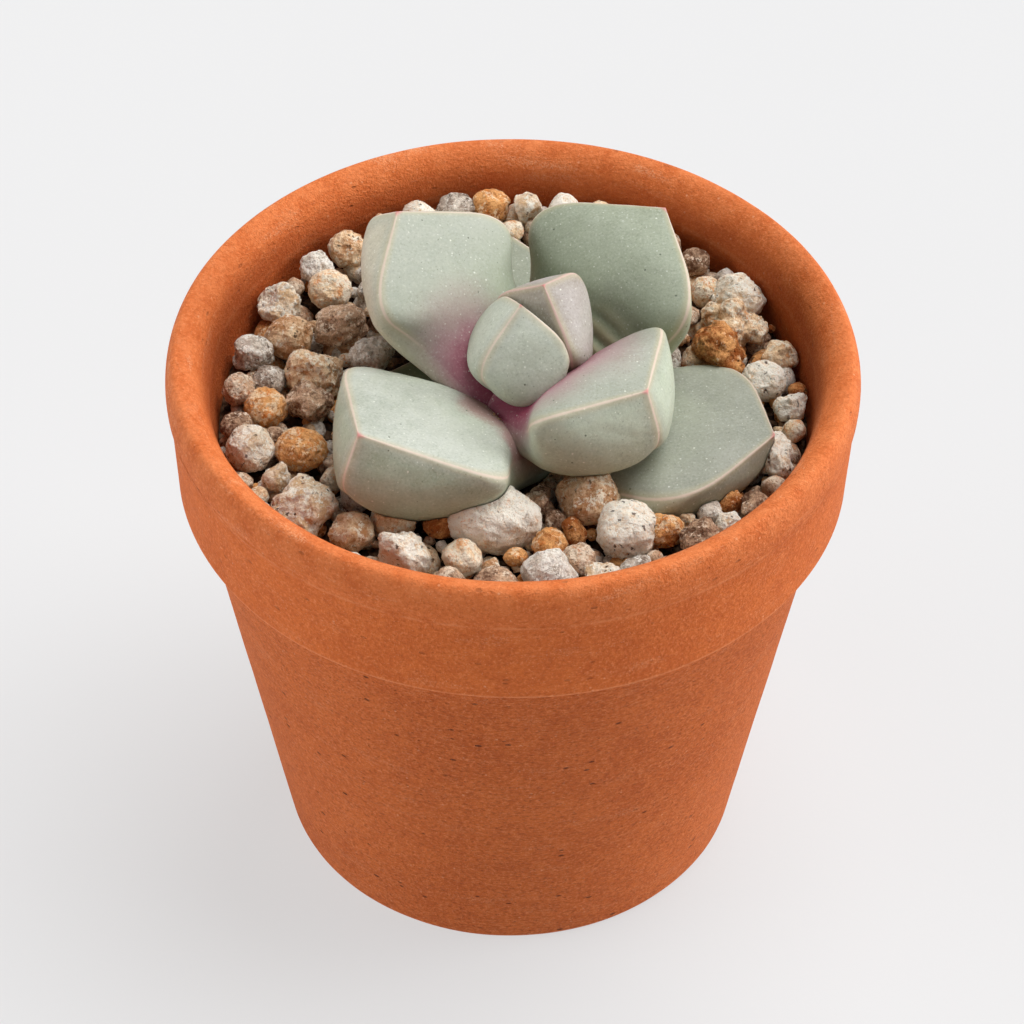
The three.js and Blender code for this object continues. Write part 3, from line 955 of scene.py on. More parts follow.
# ---------------------------------------------------------------- pot
@dataclass
class Pot:
    """The turned clay pot with its collar and rolled lip."""

    height: float = 70.8
    rim_radius: float = 40.0
    peak_radius: float = 38.7
    collar_radius: float = 39.1
    collar_foot: float = 53.85
    body_top_radius: float = 36.95
    base_radius: float = 27.8
    bore_radius: float = 35.0
    bore_top: float = 64.2
    bore_at_foot: float = 24.6
    bore_taper: float = 0.168
    floor: float = 4.5
    drain_radius: float = 3.75
    widest_below_top: float = 3.2
    # under the lip: out from the collar, down from the top, and rounding
    seam: Sequence[tuple[float, float, float]] = (
        (0.5, 5.6, 0.4),
        (0.72, 5.1, 0.2),
        (0.66, 4.8, 0.15),
        (0.84, 4.3, 0),
    )
    longest_step: float = 1.6
    corner_steps: int = 5
    steps: int = 224
    wobble: tuple[float, float] = (16, 0.16)
    finish: Terracotta = field(default_factory=Terracotta)

    def bore(self, z: float) -> float:
        """Radius of the bore at a height."""
        return min(self.bore_at_foot + self.bore_taper * z, self.bore_radius)

    def round_off(self, corners: Sequence[tuple[float, float, float]]) -> list[tuple[float, float]]:
        """Round the corners of an open profile.

        Args:
            corners: Radius, height and rounding length of each corner.

        Returns:
            The profile with each rounded corner as a short curve.
        """
        points: list[tuple[float, float]] = []
        for i, (r, z, cut) in enumerate(corners):
            if cut == 0 or i in (0, len(corners) - 1):
                points.append((r, z))
                continue
            here = Vector((r, z))
            back = (Vector(corners[i - 1][:2]) - here).normalized() * cut
            ahead = (Vector(corners[i + 1][:2]) - here).normalized() * cut
            for step in range(self.corner_steps + 1):
                t = step / self.corner_steps
                curve = (here + back) * (1 - t) ** 2 + here * 2 * t * (1 - t) + (here + ahead) * t**2
                points.append((curve.x, curve.y))
        return points

    def profile(self) -> list[tuple[float, float]]:
        """The closed outline of the wall from the drain hole, up the outside and down the bore.

        Returns:
            Radius and height pairs.
        """
        foot, top, collar = self.collar_foot, self.height, self.collar_radius
        outside = self.round_off(
            [
                (self.drain_radius, 0, 0),
                (self.base_radius, 0, 0.9),
                (self.body_top_radius, foot - 0.3, 0.35),
                (collar, foot, 0.4),
                *((collar + out, top - down, cut) for out, down, cut in self.seam),
            ]
        )
        widest = top - self.widest_below_top
        out, inward = self.rim_radius - self.peak_radius, self.peak_radius - self.bore_radius
        for degrees in range(-8, 91, 7):
            a = math.radians(degrees)
            outside.append((self.peak_radius + out * math.cos(a), widest + (top - widest) * math.sin(a)))
        for degrees in range(84, -1, -6):
            a = math.radians(degrees)
            z = self.bore_top + (top - self.bore_top) * math.sin(a)
            outside.append((self.peak_radius - inward * math.cos(a), z))
        inside = self.round_off(
            [
                (self.bore_radius, self.bore_top - 0.8, 0),
                (self.bore(52), 52, 1.5),
                (self.bore(self.floor), self.floor, 1.4),
                (self.drain_radius, self.floor, 0.5),
                (self.drain_radius, 0, 0),
            ]
        )
        return self.fill_in(outside + inside)

    def fill_in(self, points: Sequence[tuple[float, float]]) -> list[tuple[float, float]]:
        """Split the long straight runs of a profile.

        Args:
            points: The profile.

        Returns:
            The profile with points added on its straight runs.
        """
        filled = [points[0]]
        for (r0, z0), (r1, z1) in zip(points, points[1:]):
            parts = max(1, round(math.hypot(r1 - r0, z1 - z0) / self.longest_step))
            filled += [(r0 + (r1 - r0) * k / parts, z0 + (z1 - z0) * k / parts) for k in range(1, parts + 1)]
        return filled

    def build(self) -> bpy.types.Object:
        """Turn, wobble and dress the pot.

        Returns:
            The pot.
        """
        pot = Bench.turn("clay_pot", self.profile(), self.steps)
        Bench.roughen(pot, *self.wobble)
        Bench.smooth(pot, degrees=50)
        Bench.hand_over(pot, self.finish.make(), "terracotta", ["pot"])
        return pot


# ---------------------------------------------------------------- leaves
@dataclass(frozen=True)
class LeafForm:
    """One leaf as a soft three-sided loft of two margins and a keel.

    A margin runs through [out, across, up] at the foot, the neck and the shoulder. The keel runs
    through [out, up] places. Both end in the tip.
    """

    name: str
    bearing: float
    centre: tuple[float, float]
    foot: tuple[float, float, float]
    neck: tuple[float, float, float]
    shoulder: tuple[float, float, float]
    tip: tuple[float, float]
    keel: tuple[tuple[float, float], ...]
    soft: tuple[float, float]
    belly: float
    slot: str


CROWN = (1.3, 0.0)
HEART = (2.5, 0.0)
LEAF_FORMS = (
    LeafForm(
        "young_leaf_front", 221.5, HEART, (0.6, 2.8, 65.5), (1.0, 6.2, 70.3), (0, 6.4, 75.4), (2.2, 79.0),
        ((2.4, 64.8), (6.6, 68), (8.9, 73.2)), (0.5, 0.48), 0.09, "young_leaf",
    ),
    LeafForm(
        "young_leaf_back", 42.7, HEART, (0.6, 2.8, 65.5), (0.5, 5.9, 70.1), (-0.6, 6.6, 75.4), (1.2, 80.0),
        ((2.4, 64.8), (5.9, 70), (7.9, 79)), (0.5, 0.43), 0.05, "young_leaf",
    ),
    LeafForm(
        "upper_leaf_left", 138, CROWN, (0, 6.6, 66), (8.6, 7.0, 70.3), (12.6, 11.9, 76.9), (19.9, 80.3),
        ((1, 62.5), (12, 66.2), (26.5, 75.3)), (0.46, 0.44), 0.1, "upper_leaf",
    ),
    LeafForm(
        "upper_leaf_right", -41, CROWN, (0, 6.6, 66.3), (7.2, 7.8, 67.4), (11.2, 11.8, 74.5), (18.2, 75.4),
        ((1, 61.5), (13, 63), (21.2, 67.6)), (0.4, 0.35), 0.11, "upper_leaf",
    ),
    LeafForm(
        "lower_leaf_front", 223.2, CROWN, (0.3, 7.5, 61), (9.2, 8.0, 64.8), (15.8, 13.9, 69.6), (25.3, 73.4),
        ((1.5, 56), (18, 59.2), (29.1, 65.5)), (0.3, 0.32), 0.085, "lower_leaf",
    ),
    LeafForm(
        "lower_leaf_back", 46, CROWN, (0.3, 7.5, 61), (11.1, 8.9, 67.0), (14.1, 14.1, 77), (23.5, 78.2),
        ((1.5, 58), (15, 65.5), (25.0, 71.5)), (0.44, 0.5), 0.03, "lower_leaf",
    ),
    LeafForm(
        "outer_leaf_right", -16, CROWN, (4, 6, 57.5), (9.8, 9.6, 60.8), (22.6, 13.4, 64.2), (29.8, 65.5),
        ((4, 53.4), (18, 55.5), (29.0, 60)), (0.45, 0.5), 0.17, "lower_leaf",
    ),
    LeafForm(
        "outer_leaf_left", 162, CROWN, (4, 5.5, 57), (8, 6.5, 59), (13, 8, 60.8), (17.5, 62.0),
        ((4, 53.4), (12, 54), (17.5, 57.5)), (0.45, 0.45), 0.08, "lower_leaf",
    ),
    LeafForm(
        "outer_leaf_back", 95, CROWN, (4, 5.5, 58), (10, 7.5, 60.2), (19, 11, 62.4), (28.0, 65.3),
        ((4, 53.6), (17, 54.5), (28, 58.5)), (0.45, 0.5), 0.08, "lower_leaf",
    ),
)


@dataclass
class Leaf:
    """Builds one leaf's skin as a fine loft."""

    form: LeafForm
    rings: int = 92
    side_steps: int = 26
    sharpness: float = 0.05
    margin_sharpens: tuple[float, float] = (0.35, 0.72)
    keel_sharpens: tuple[float, float] = (0.35, 0.8)
    upper_swell: float = 0.04
    bloom_edge: float = 2.5
    bloom_share: float = 0.8
    waviness: tuple[float, float] = (5.5, 0.16)

    @staticmethod
    def soft_line(points: Sequence[Sequence[float]], soft: Sequence[float], t: np.ndarray) -> np.ndarray:
        """A line through corners, its inner corners rounded by parabolas.

        Args:
            points: The corners.
            soft: How far each inner corner is rounded.
            t: Places along the line from 0 to 1.

        Returns:
            The points of the line.
        """
        corners = np.asarray(points, float)
        last = len(corners) - 1
        x = t * last
        i = np.minimum(x.astype(int), last - 1)
        line = corners[i] + (corners[i + 1] - corners[i]) * (x - i)[:, None]
        for j in range(1, last):
            reach = soft[j - 1]
            away = np.abs(x - j)
            bend = corners[j + 1] - 2 * corners[j] + corners[j - 1]
            line += np.where(away < reach, (reach - away) ** 2 / (4 * reach), 0)[:, None] * bend
        return line

    def ridges(self, t: np.ndarray) -> np.ndarray:
        """The left margin, the keel and the right margin.

        Args:
            t: Places from the foot, 0, to the tip, 1.

        Returns:
            An array of places by three ridges by three coordinates.
        """
        form = self.form
        tip = (form.tip[0], 0, form.tip[1])
        left = self.soft_line([form.foot, form.neck, form.shoulder, tip], form.soft, t)
        keel = self.soft_line([(u, 0, w) for u, w in form.keel] + [tip], (0.5, 0.5), t)
        return np.stack([left, keel, left * (1, -1, 1)], axis=1)

    def skin(self) -> tuple[np.ndarray, dict[str, np.ndarray]]:
        """Work out the skin.

        Returns:
            Its rings of points in millimetres, and the values kept for each point.
        """
        t = np.linspace(0, 1, self.rings)
        ridges = self.ridges(t)
        margin = 0.5 + (self.sharpness - 0.5) * ease(*self.margin_sharpens, t)
        keel = 0.5 + (self.sharpness - 0.5) * ease(*self.keel_sharpens, t)
        rounds = np.stack([margin, keel, margin], axis=1)
        pull = np.zeros((self.rings, 3, 3))
        for i in range(3):
            pull[:, i, i] = 1 - rounds[:, i] / 2
            pull[:, i, (i + 1) % 3] = pull[:, i, (i + 2) % 3] = rounds[:, i] / 4
        corners = np.linalg.solve(pull, ridges)
        along = np.gradient(ridges, axis=0).sum(axis=1)
        x = 0.5 - 0.5 * np.cos(np.pi * np.arange(self.side_steps) / self.side_steps)
        sides = [self.side(corners, rounds, along, x, i) for i in range(3)]
        points = np.concatenate([*sides, sides[0][:, :1]], axis=1)
        return points, self.values(points, t)

    def side(
        self, corners: np.ndarray, rounds: np.ndarray, along: np.ndarray, x: np.ndarray, i: int
    ) -> np.ndarray:
        """One of the three sides between neighbouring ridges.

        Args:
            corners: The section's corners, ring by ring.
            rounds: How far each corner is rounded.
            along: The leaf's run at each ring.
            x: Places across the side from 0 to 1.
            i: Which side.

        Returns:
            The side's points, ring by ring.
        """
        a, b, c = (corners[:, (i + k) % 3] for k in range(3))
        edge, incoming, outgoing = b - a, a - c, c - b
        normal = np.cross(edge, along)
        inward = ((a + b) / 2 - (a + b + c) / 3) * normal
        normal *= np.where(inward.sum(axis=1) < 0, -1, 1)[:, None]
        normal /= np.linalg.norm(normal, axis=1, keepdims=True) + 1e-9
        ha, hb = rounds[:, i][:, None], rounds[:, (i + 1) % 3][:, None]
        near_a = np.where(x < ha, (ha - x) ** 2 / (4 * ha), 0)[..., None]
        near_b = np.where(1 - x < hb, (hb - (1 - x)) ** 2 / (4 * hb), 0)[..., None]
        points = a[:, None] + edge[:, None] * x[:, None]
        points = points + near_a * (edge - incoming)[:, None] + near_b * (outgoing - edge)[:, None]
        swell = self.upper_swell if i == 2 else self.form.belly
        bulge = swell * np.linalg.norm(edge, axis=1)[:, None, None] * (4 * x * (1 - x))[:, None]
        return points + bulge * normal[:, None]

    def values(self, points: np.ndarray, t: np.ndarray) -> dict[str, np.ndarray]:
        """What the finish reads at each point.

        Args:
            points: The rings of points.
            t: The place of each ring.

        Returns:
            Millimetres to the nearest ridge, the place along the leaf, and 1 on the upper side.
        """
        steps = self.side_steps
        length = np.linalg.norm(np.diff(points, axis=1), axis=2)
        ridge = np.zeros(points.shape[:2])
        upper = np.zeros(points.shape[:2])
        for i in range(3):
            run = length[:, i * steps : (i + 1) * steps]
            whole = np.concatenate([np.zeros((len(t), 1)), np.cumsum(run, axis=1)], axis=1)
            span = slice(i * steps, (i + 1) * steps + 1)
            ridge[:, span] = np.minimum(whole, whole[:, -1:] - whole)
        upper[:, 2 * steps :] = 1
        upper[:, 0] = 1
        near = np.clip(1 - ridge / self.bloom_edge, 0, 1)
        upper = np.maximum(upper, near * self.bloom_share)
        return {"ridge": ridge, "along": np.repeat(t[:, None], points.shape[1], axis=1), "upper": upper}

    def build(self) -> bpy.types.Object:
        """Lay a grid over the skin and close it.

        Returns:
            The leaf, undressed.
        """
        form = self.form
        points, values = self.skin()
        turn = math.radians(form.bearing)
        u, v = points[..., 0], points[..., 1]
        x = form.centre[0] + u * math.cos(turn) - v * math.sin(turn)
        y = form.centre[1] + u * math.sin(turn) + v * math.cos(turn)
        world = np.stack([x, y, points[..., 2]], axis=-1).reshape(-1, 3)
        Bench.clear()
        bpy.ops.mesh.primitive_grid_add(
            x_subdivisions=points.shape[1] - 1, y_subdivisions=points.shape[0] - 1, size=20 * MM
        )
        leaf = Bench.named(f"{form.name}_skin")
        Bench.reshape(leaf.data, world)
        for name, value in values.items():
            Bench.keep(leaf.data, name, value)
        Bench.mend(leaf, fill=True)
        Bench.roughen(leaf, *self.waviness)
        Bench.hold(leaf)
        bpy.ops.object.shade_smooth()
        return leaf


@dataclass
class Rosette:
    """The nine leaves of the plant."""

    forms: Sequence[LeafForm] = LEAF_FORMS
    skins: dict[str, LeafSkin] = field(
        default_factory=lambda: {
            "young_leaf_front": LeafSkin(
                "young_front_skin",
                under=paint(196, 201, 187), under_low=paint(166, 172, 154), ridge_share=0.55,
            ),
            "young_leaf_back": LeafSkin(
                "young_back_skin",
                skin=paint(166, 158, 146), low=paint(136, 124, 108),
                under=paint(182, 174, 170), under_low=paint(152, 142, 132),
                ridge=paint(216, 178, 172), ridge_share=0.6,
                bases=((3.2, -1.0, 67.0),), blush_reach=9.0,
            ),
            "upper_leaf_left": LeafSkin(
                "upper_left_skin",
                skin=paint(178, 181, 168), under=paint(198, 193, 174), under_low=paint(168, 163, 142),
                bases=((-2.4, -5.6, 67.5), (-3.0, -3.8, 69.0), (-3.4, -1.6, 70.2)),
                flush_reach=6.6, blush_reach=12.0,
            ),
            "upper_leaf_right": LeafSkin(
                "upper_right_skin",
                skin=paint(171, 174, 161), low=paint(142, 147, 130),
                under=paint(190, 200, 181), under_low=paint(160, 171, 150),
                bases=((-1.6, -6.8, 67.5), (1.4, -7.0, 68.5), (3.6, -6.0, 69.6), (7.4, -2.8, 70.6)),
                flush_reach=5.4, blush_reach=10.5,
            ),
            "lower_leaf_front": LeafSkin(
                "lower_front_skin",
                skin=paint(196, 199, 189), under=paint(180, 191, 172), blush=paint(160, 124, 120),
                bases=((1.0, -9.6, 64.0), (-2.2, -5.6, 66.5)), blush_reach=5.5,
            ),
            "lower_leaf_back": LeafSkin(
                "lower_back_skin",
                skin=paint(163, 169, 151), low=paint(130, 139, 116), under=paint(170, 176, 154),
                fold_place=(10.5, 4.6, 68.8), fold_bearing=46.0,
            ),
            "outer_leaf_right": LeafSkin(
                "outer_skin",
                skin=paint(166, 168, 156), low=paint(133, 138, 122), under=paint(176, 178, 160),
            ),
            # darker skin colours for a leaf that lies in shadow under the upper leaf: painted shade
            "outer_leaf_left": LeafSkin(
                "outer_left_shaded_skin",
                skin=paint(132, 142, 112), low=paint(106, 116, 86),
                under=paint(132, 142, 112), under_low=paint(104, 114, 84),
            ),
            "outer_leaf_back": LeafSkin(
                "outer_back_skin",
                skin=paint(150, 155, 138), low=paint(124, 131, 112),
                under=paint(152, 157, 138), under_low=paint(122, 128, 108),
            ),
        }
    )
    leaves: list[bpy.types.Object] = field(default_factory=list)

    def build(self) -> None:
        """Make, dress and hand over every leaf."""
        for form in self.forms:
            leaf = Leaf(form).build()
            Bench.hand_over(leaf, self.skins[form.name].make(), form.slot, [form.name])
            self.leaves.append(leaf)

    def room(self) -> BVHTree:
        """All the leaves as one tree of faces for the stones to keep clear of.

        Returns:
            The tree, in metres.
        """
        corners: list[Vector] = []
        faces: list[tuple[int, ...]] = []
        for leaf in self.leaves:
            start = len(corners)
            corners += [v.co.copy() for v in leaf.data.vertices]
            faces += [tuple(start + k for k in p.vertices) for p in leaf.data.polygons]
        return BVHTree.FromPolygons(corners, faces)


@dataclass
class DriedSheath:
    """Papery scraps of an old sheath, caught in the notch between the upper leaves."""

    scraps: Sequence[tuple[float, float, float, float, float, float]] = (
        (-2.5, -6.6, 66.3, 1.0, 40, 20),
        (-1.5, -6.9, 66.6, 0.8, -60, 55),
    )
    wall: float = 0.12
    ends: tuple[float, float] = (0.75, 0.2)
    cut_at: float = 0.1
    cut_lean: float = 0.2
    curl: float = 0.25
    curls: tuple[float, float] = (4.0, 5.0)

    def scrap(
        self, x: float, y: float, z: float, size: float, bearing: float, lean: float
    ) -> bpy.types.Object:
        """One curled scrap.

        Args:
            x: Its place.
            y: Its place.
            z: Its place.
            size: Half its height.
            bearing: Which way it leans.
            lean: How far it leans.

        Returns:
            The scrap.
        """
        Bench.clear()
        bpy.ops.mesh.primitive_cone_add(
            vertices=18,
            radius1=self.ends[0] * size * MM,
            radius2=self.ends[1] * size * MM,
            depth=2 * size * MM,
            end_fill_type="NOTHING",
        )
        scrap = Bench.named("sheath_scrap")
        with Bench.editing():
            place, way = (0, self.cut_at * size * MM, 0), (0, 1, self.cut_lean)
            bpy.ops.mesh.bisect(plane_co=place, plane_no=way, clear_outer=True)
            bpy.ops.mesh.select_all(action="SELECT")
            bpy.ops.mesh.subdivide(number_cuts=3)
        Bench.finish(scrap, "SOLIDIFY", thickness=self.wall * MM)
        points = Bench.points(scrap.data)
        points[:, 0] *= 1 + self.curl * np.sin(points[:, 2] * self.curls[0])
        points[:, 2] += self.curl * size * np.sin(points[:, 0] * self.curls[1])
        turn = Matrix.Rotation(math.radians(bearing), 3, "Z") @ Matrix.Rotation(math.radians(lean), 3, "X")
        Bench.reshape(scrap.data, points @ np.array(turn).T + (x, y, z))
        return scrap

    def build(self) -> None:
        """Make, join and dress the scraps."""
        piece = Bench.join("dried_sheath", [self.scrap(*scrap) for scrap in self.scraps])
        Bench.smooth(piece, degrees=40)
        Bench.hand_over(piece, DrySheath().make(), "lower_leaf")


# ---------------------------------------------------------------- stones
class StoneForm(Enum):
    """How a stone is shaped."""

    ROUNDED = "rounded"
    ANGULAR = "angular"
    CLUMP = "clump"


@dataclass(frozen=True)
class Stone:
    """One stone in its place."""

    x: float
    y: float
    z: float
    size: float
    kind: StoneKind
    form: StoneForm
    stretch: tuple[float, float, float]
    turn: tuple[float, float, float]
    rank: int


CREAM, TAN, OCHRE, BROWN, GREY = StoneKind
ROUNDED, ANGULAR, CLUMP = StoneForm
# the stones that stand out: bearing in degrees, distance from the axis, size, colour, form, stretch
STANDING_OUT = (
    (8, 29.5, 5.5, CREAM, ROUNDED, (1, 1, 0.95)),
    (18.5, 25.9, 7.2, OCHRE, CLUMP, (1.15, 1.1, 1)),
    (26.5, 29.1, 7.8, TAN, CLUMP, (1.1, 1.1, 1)),
    (39, 29.6, 4.2, TAN, ROUNDED, (1, 1, 0.95)),
    (33, 31.7, 6.6, CREAM, ROUNDED, (1.1, 1, 0.95)),
    (140, 28.5, 5.5, TAN, ROUNDED, (1, 1, 0.9)),
    (150, 31.8, 6.1, CREAM, ANGULAR, (1, 1, 0.9)),
    (149, 24, 6, BROWN, ANGULAR, (1.1, 0.9, 0.9)),
    (158, 28.5, 6, TAN, ROUNDED, (1, 1, 0.9)),
    (169, 23.5, 7.4, TAN, ANGULAR, (1, 1, 0.95)),
    (182, 28.5, 5.5, OCHRE, ROUNDED, (1, 1, 0.9)),
    (194, 31, 6, CREAM, ROUNDED, (1, 1, 0.95)),
    (197, 25.5, 6, OCHRE, ROUNDED, (1.1, 1, 0.85)),
    (216, 29, 8, CREAM, ANGULAR, (1.0, 1.15, 0.85)),
    (243, 27, 7, CREAM, ANGULAR, (1, 0.8, 1.3)),
    (264, 18.8, 8.7, CREAM, ROUNDED, (1.3, 0.95, 0.95)),
    (266, 29, 6, BROWN, ANGULAR, (1.1, 0.9, 0.8)),
    (279, 27.2, 6.5, GREY, ROUNDED, (1, 1, 0.95)),
    (300, 17.2, 7.4, TAN, ROUNDED, (1, 1, 0.95)),
    (303, 24, 7.4, CREAM, ROUNDED, (1, 1.05, 0.95)),
    (291, 29.6, 5, CREAM, ANGULAR, (1.2, 0.9, 0.8)),
    (345, 31, 6, CREAM, ANGULAR, (0.85, 1.2, 0.95)),
    (311, 26.3, 4.9, OCHRE, ANGULAR, (1, 1, 0.95)),
    (315.5, 30.2, 5.2, BROWN, ANGULAR, (1, 1, 0.9)),
    (322.5, 30.9, 3.7, CREAM, ROUNDED, (0.9, 1, 1)),
    (330, 31.8, 3.9, BROWN, ANGULAR, (1, 1, 0.9)),
    (281, 22.4, 4.2, OCHRE, ROUNDED, (1, 1, 0.9)),
    (287.3, 25.6, 4.2, BROWN, ANGULAR, (1, 1, 0.9)),
    (281, 15.4, 4.6, BROWN, CLUMP, (1, 1, 0.9)),
    (176, 31.9, 4.3, BROWN, ROUNDED, (1, 1, 0.9)),
    (187, 32.0, 4.1, BROWN, ROUNDED, (1, 1, 0.9)),
    (165.3, 31.6, 4.9, GREY, ANGULAR, (1, 1, 0.95)),
    (172.5, 28.7, 4.2, GREY, ROUNDED, (1, 1, 0.95)),
    (180, 23.6, 5.4, BROWN, ANGULAR, (1.1, 1, 1)),
    (137, 32, 4.6, GREY, ANGULAR, (1, 1, 0.95)),
    (129, 31.8, 4.9, TAN, ROUNDED, (1, 1, 0.95)),
    (155, 18.2, 6, GREY, ANGULAR, (1, 1, 0.9)),
)


# how the loose stones share out: each colour up to its limit, and the share that is rounded
LARGE_SHARES = ((0.18, CREAM), (0.46, TAN), (0.6, OCHRE), (0.8, BROWN), (1.01, GREY))
SMALL_SHARES = ((0.28, TAN), (0.44, OCHRE), (0.76, BROWN), (1.01, GREY))
ROUNDED_SHARE = 0.6
FULL_TURN = 6.28
ABOVE_ALL = 40  # a height over any stone, in millimetres, that is clear of the leaves
LEAF_TOUCH = 0.1  # a stone nearer to a leaf than this is pressed off it
UPWARD = 0.3  # a leaf's side faces up where its normal rises more than this


@dataclass(frozen=True)
class Fall:
    """A size of stone that falls by chance: closest is the gap that it keeps, as a share of both sizes."""

    sizes: tuple[float, float]
    tries: int
    closest: float
    sunk: float
    rank: int


@dataclass(frozen=True)
class Fineness:
    """How finely the stones of one rank are shaped, at a radius of 1."""

    voxel: float
    smoothings: int
    moulds: int


@dataclass(frozen=True)
class Shaping:
    """How stones of one form are made, at a radius of 1."""

    roughness: float
    flats: int = 0
    nearest_flat: float = 0.0


SHAPINGS = {ROUNDED: Shaping(0.12, 11, 0.8), ANGULAR: Shaping(0.16, 13, 0.66), CLUMP: Shaping(0.22)}


@dataclass
class Dressing:
    """The pumice dressing: stones that stand out, stones that fall by chance, and their bed."""

    bore: Pot
    bed_level: float = 61.3
    bed_sunk: float = 1.9
    bed_rings: int = 48
    bed_steps: int = 132
    bottom: float = 52.3
    slope: float = 0.05
    rise: float = 0.0022
    level: float = 62.2
    usual_size: float = 4.0
    lift: float = 0.12
    row_bearings: Sequence[int] = range(47, 124, 8)
    row_distance: float = 31.8
    row_sizes: tuple[float, float] = (3.8, 5.0)
    hollow: tuple[float, float, float] = (-12.0, 5.6, 4.0)
    bare_radii: tuple[float, float, float] = (12.0, 6.0, 8.0)
    seed: int = 20417
    gap: float = 0.3
    clear_of_leaf: float = 0.12
    tucked_in_leaf: float = 0.35
    top_share: float = 0.55
    most_pressed: float = 0.55
    cast_radius: float = 1000.0
    falls: Sequence[Fall] = (
        Fall((4.6, 6.0), 300, 0.47, 0.1, 1),
        Fall((3.6, 5.0), 1300, 0.46, 0.1, 1),
        Fall((2.4, 3.6), 2600, 0.43, 0.5, 2),
    )
    under: Fall = Fall((2.6, 4.6), 2600, 0.4, 2.6, 2)
    grit: Fall = Fall((1.1, 2.1), 1500, 0.45, 1.5, 3)
    ranks: Sequence[Fineness] = (
        Fineness(0.058, 6, 4),
        Fineness(0.115, 3, 5),
        Fineness(0.25, 1, 6),
        Fineness(0.45, 1, 3),
    )
    flat_spread: float = 0.22
    clumps: int = 3
    clump_lumps: int = 7
    clump_core: float = 0.66
    lump_distance: float = 0.62
    lump_radius: float = 0.34
    lump_spread: float = 0.28
    # how stones are roughened: size of the forms, share of the roughness, texture, and coarsest rank
    roughenings: Sequence[tuple[float, float, str, int]] = (
        (0.8, 2.0, "CLOUDS", 3),
        (0.3, 0.7, "CLOUDS", 3),
        (0.22, 0.6, "VORONOI", 1),
        (0.06, 0.42, "CLOUDS", 0),
    )
    bed_roughenings: Sequence[tuple[float, float]] = ((1.5, 0.9), (0.5, 0.3))
    moulds: dict[tuple[StoneForm, int], list[bpy.types.Object]] = field(default_factory=dict)

    def bank(self, y: np.ndarray | float) -> np.ndarray | float:
        """How far the dressing stands over its middle, y to the back."""
        return self.slope * y + self.rise * np.maximum(y, 0) ** 2

    def middle(self, y: float, size: float) -> float:
        """Height of a stone's centre."""
        return float(self.level + self.bank(y) + self.lift * (size - self.usual_size))

    def back_row(self, draw: Iterator[float], looks: Iterator[float]) -> list[Stone]:
        """The row of stones that leans on the wall behind the plant.

        Args:
            draw: The row of chances for their sizes.
            looks: The row of chances for their looks.

        Returns:
            The stones.
        """
        stones = []
        for bearing in self.row_bearings:
            a = math.radians(bearing)
            size = self.row_sizes[0] + (self.row_sizes[1] - self.row_sizes[0]) * next(draw)
            x, y = self.row_distance * math.cos(a), self.row_distance * math.sin(a)
            stones.append(self.loose(x, y, self.middle(y, size), size, 1, looks))
        return stones

    def standing_out(self) -> list[Stone]:
        """Put the stones that stand out in their places.

        Returns:
            The stones.
        """
        draw = chances(77)
        stones = []
        for bearing, distance, size, kind, form, stretch in STANDING_OUT:
            a = math.radians(bearing)
            y = distance * math.sin(a)
            turn = (next(draw) * 0.6 - 0.3, next(draw) * 0.6 - 0.3, next(draw) * 0.5 - 0.25)
            place = (distance * math.cos(a), y, self.middle(y, size))
            stones.append(Stone(*place, size, kind, form, stretch, turn, 0))
        return stones

    def drop(
        self, fall: Fall, draw: Iterator[float], stones: list[Stone], looks: Iterator[float], bare: float
    ) -> None:
        """Let stones of one size fall wherever there is room.

        Args:
            fall: Their sizes and how they settle.
            draw: The row of chances for their places.
            stones: The stones already there, to which they are added.
            looks: The row of chances for their looks.
            bare: Radius that stays free of them.
        """
        for _ in range(fall.tries):
            a = next(draw) * 2 * math.pi
            distance = self.bore.bore_radius * math.sqrt(next(draw))
            size = fall.sizes[0] + (fall.sizes[1] - fall.sizes[0]) * next(draw)
            x, y = distance * math.cos(a), distance * math.sin(a)
            if distance + size / 2 >= self.bore.bore_radius - self.gap or distance <= bare:
                continue
            if math.hypot(x - self.hollow[0], y - self.hollow[1]) <= self.hollow[2] and fall.rank < 3:
                continue
            if any(math.hypot(s.x - x, s.y - y) <= fall.closest * (s.size + size) for s in stones):
                continue
            stones.append(self.loose(x, y, self.middle(y, size) - fall.sunk, size, fall.rank, looks))

    @staticmethod
    def loose(x: float, y: float, z: float, size: float, rank: int, looks: Iterator[float]) -> Stone:
        """A stone with chance looks.

        Args:
            x: Its place.
            y: Its place.
            z: Its place.
            size: Its size.
            rank: Which fineness of mould it takes.
            looks: The row of chances.

        Returns:
            The stone.
        """
        share = next(looks)
        shares = LARGE_SHARES if rank < 2 else SMALL_SHARES
        kind = next(k for limit, k in shares if share < limit)
        form = ROUNDED if next(looks) < ROUNDED_SHARE else ANGULAR
        stretch = (0.9 + 0.25 * next(looks), 0.9 + 0.2 * next(looks), 0.78 + 0.18 * next(looks))
        turn = (next(looks) * FULL_TURN, next(looks) * 0.8 - 0.4, next(looks) * FULL_TURN)
        return Stone(x, y, z, size, kind, form, stretch, turn, rank)

    def layers(self) -> list[Stone]:
        """Place the top layer of stones, the layer under it, and grit in the gaps.

        Returns:
            All the stones.
        """
        draw = chances(self.seed)
        looks = chances(991)
        top = self.standing_out()
        top += self.back_row(draw, looks)
        for fall in self.falls:
            self.drop(fall, draw, top, looks, self.bare_radii[0])
        low: list[Stone] = []
        self.drop(self.under, chances(5), low, looks, self.bare_radii[1])
        grit: list[Stone] = []
        self.drop(self.grit, chances(11), grit, looks, self.bare_radii[2])
        return top + low + grit

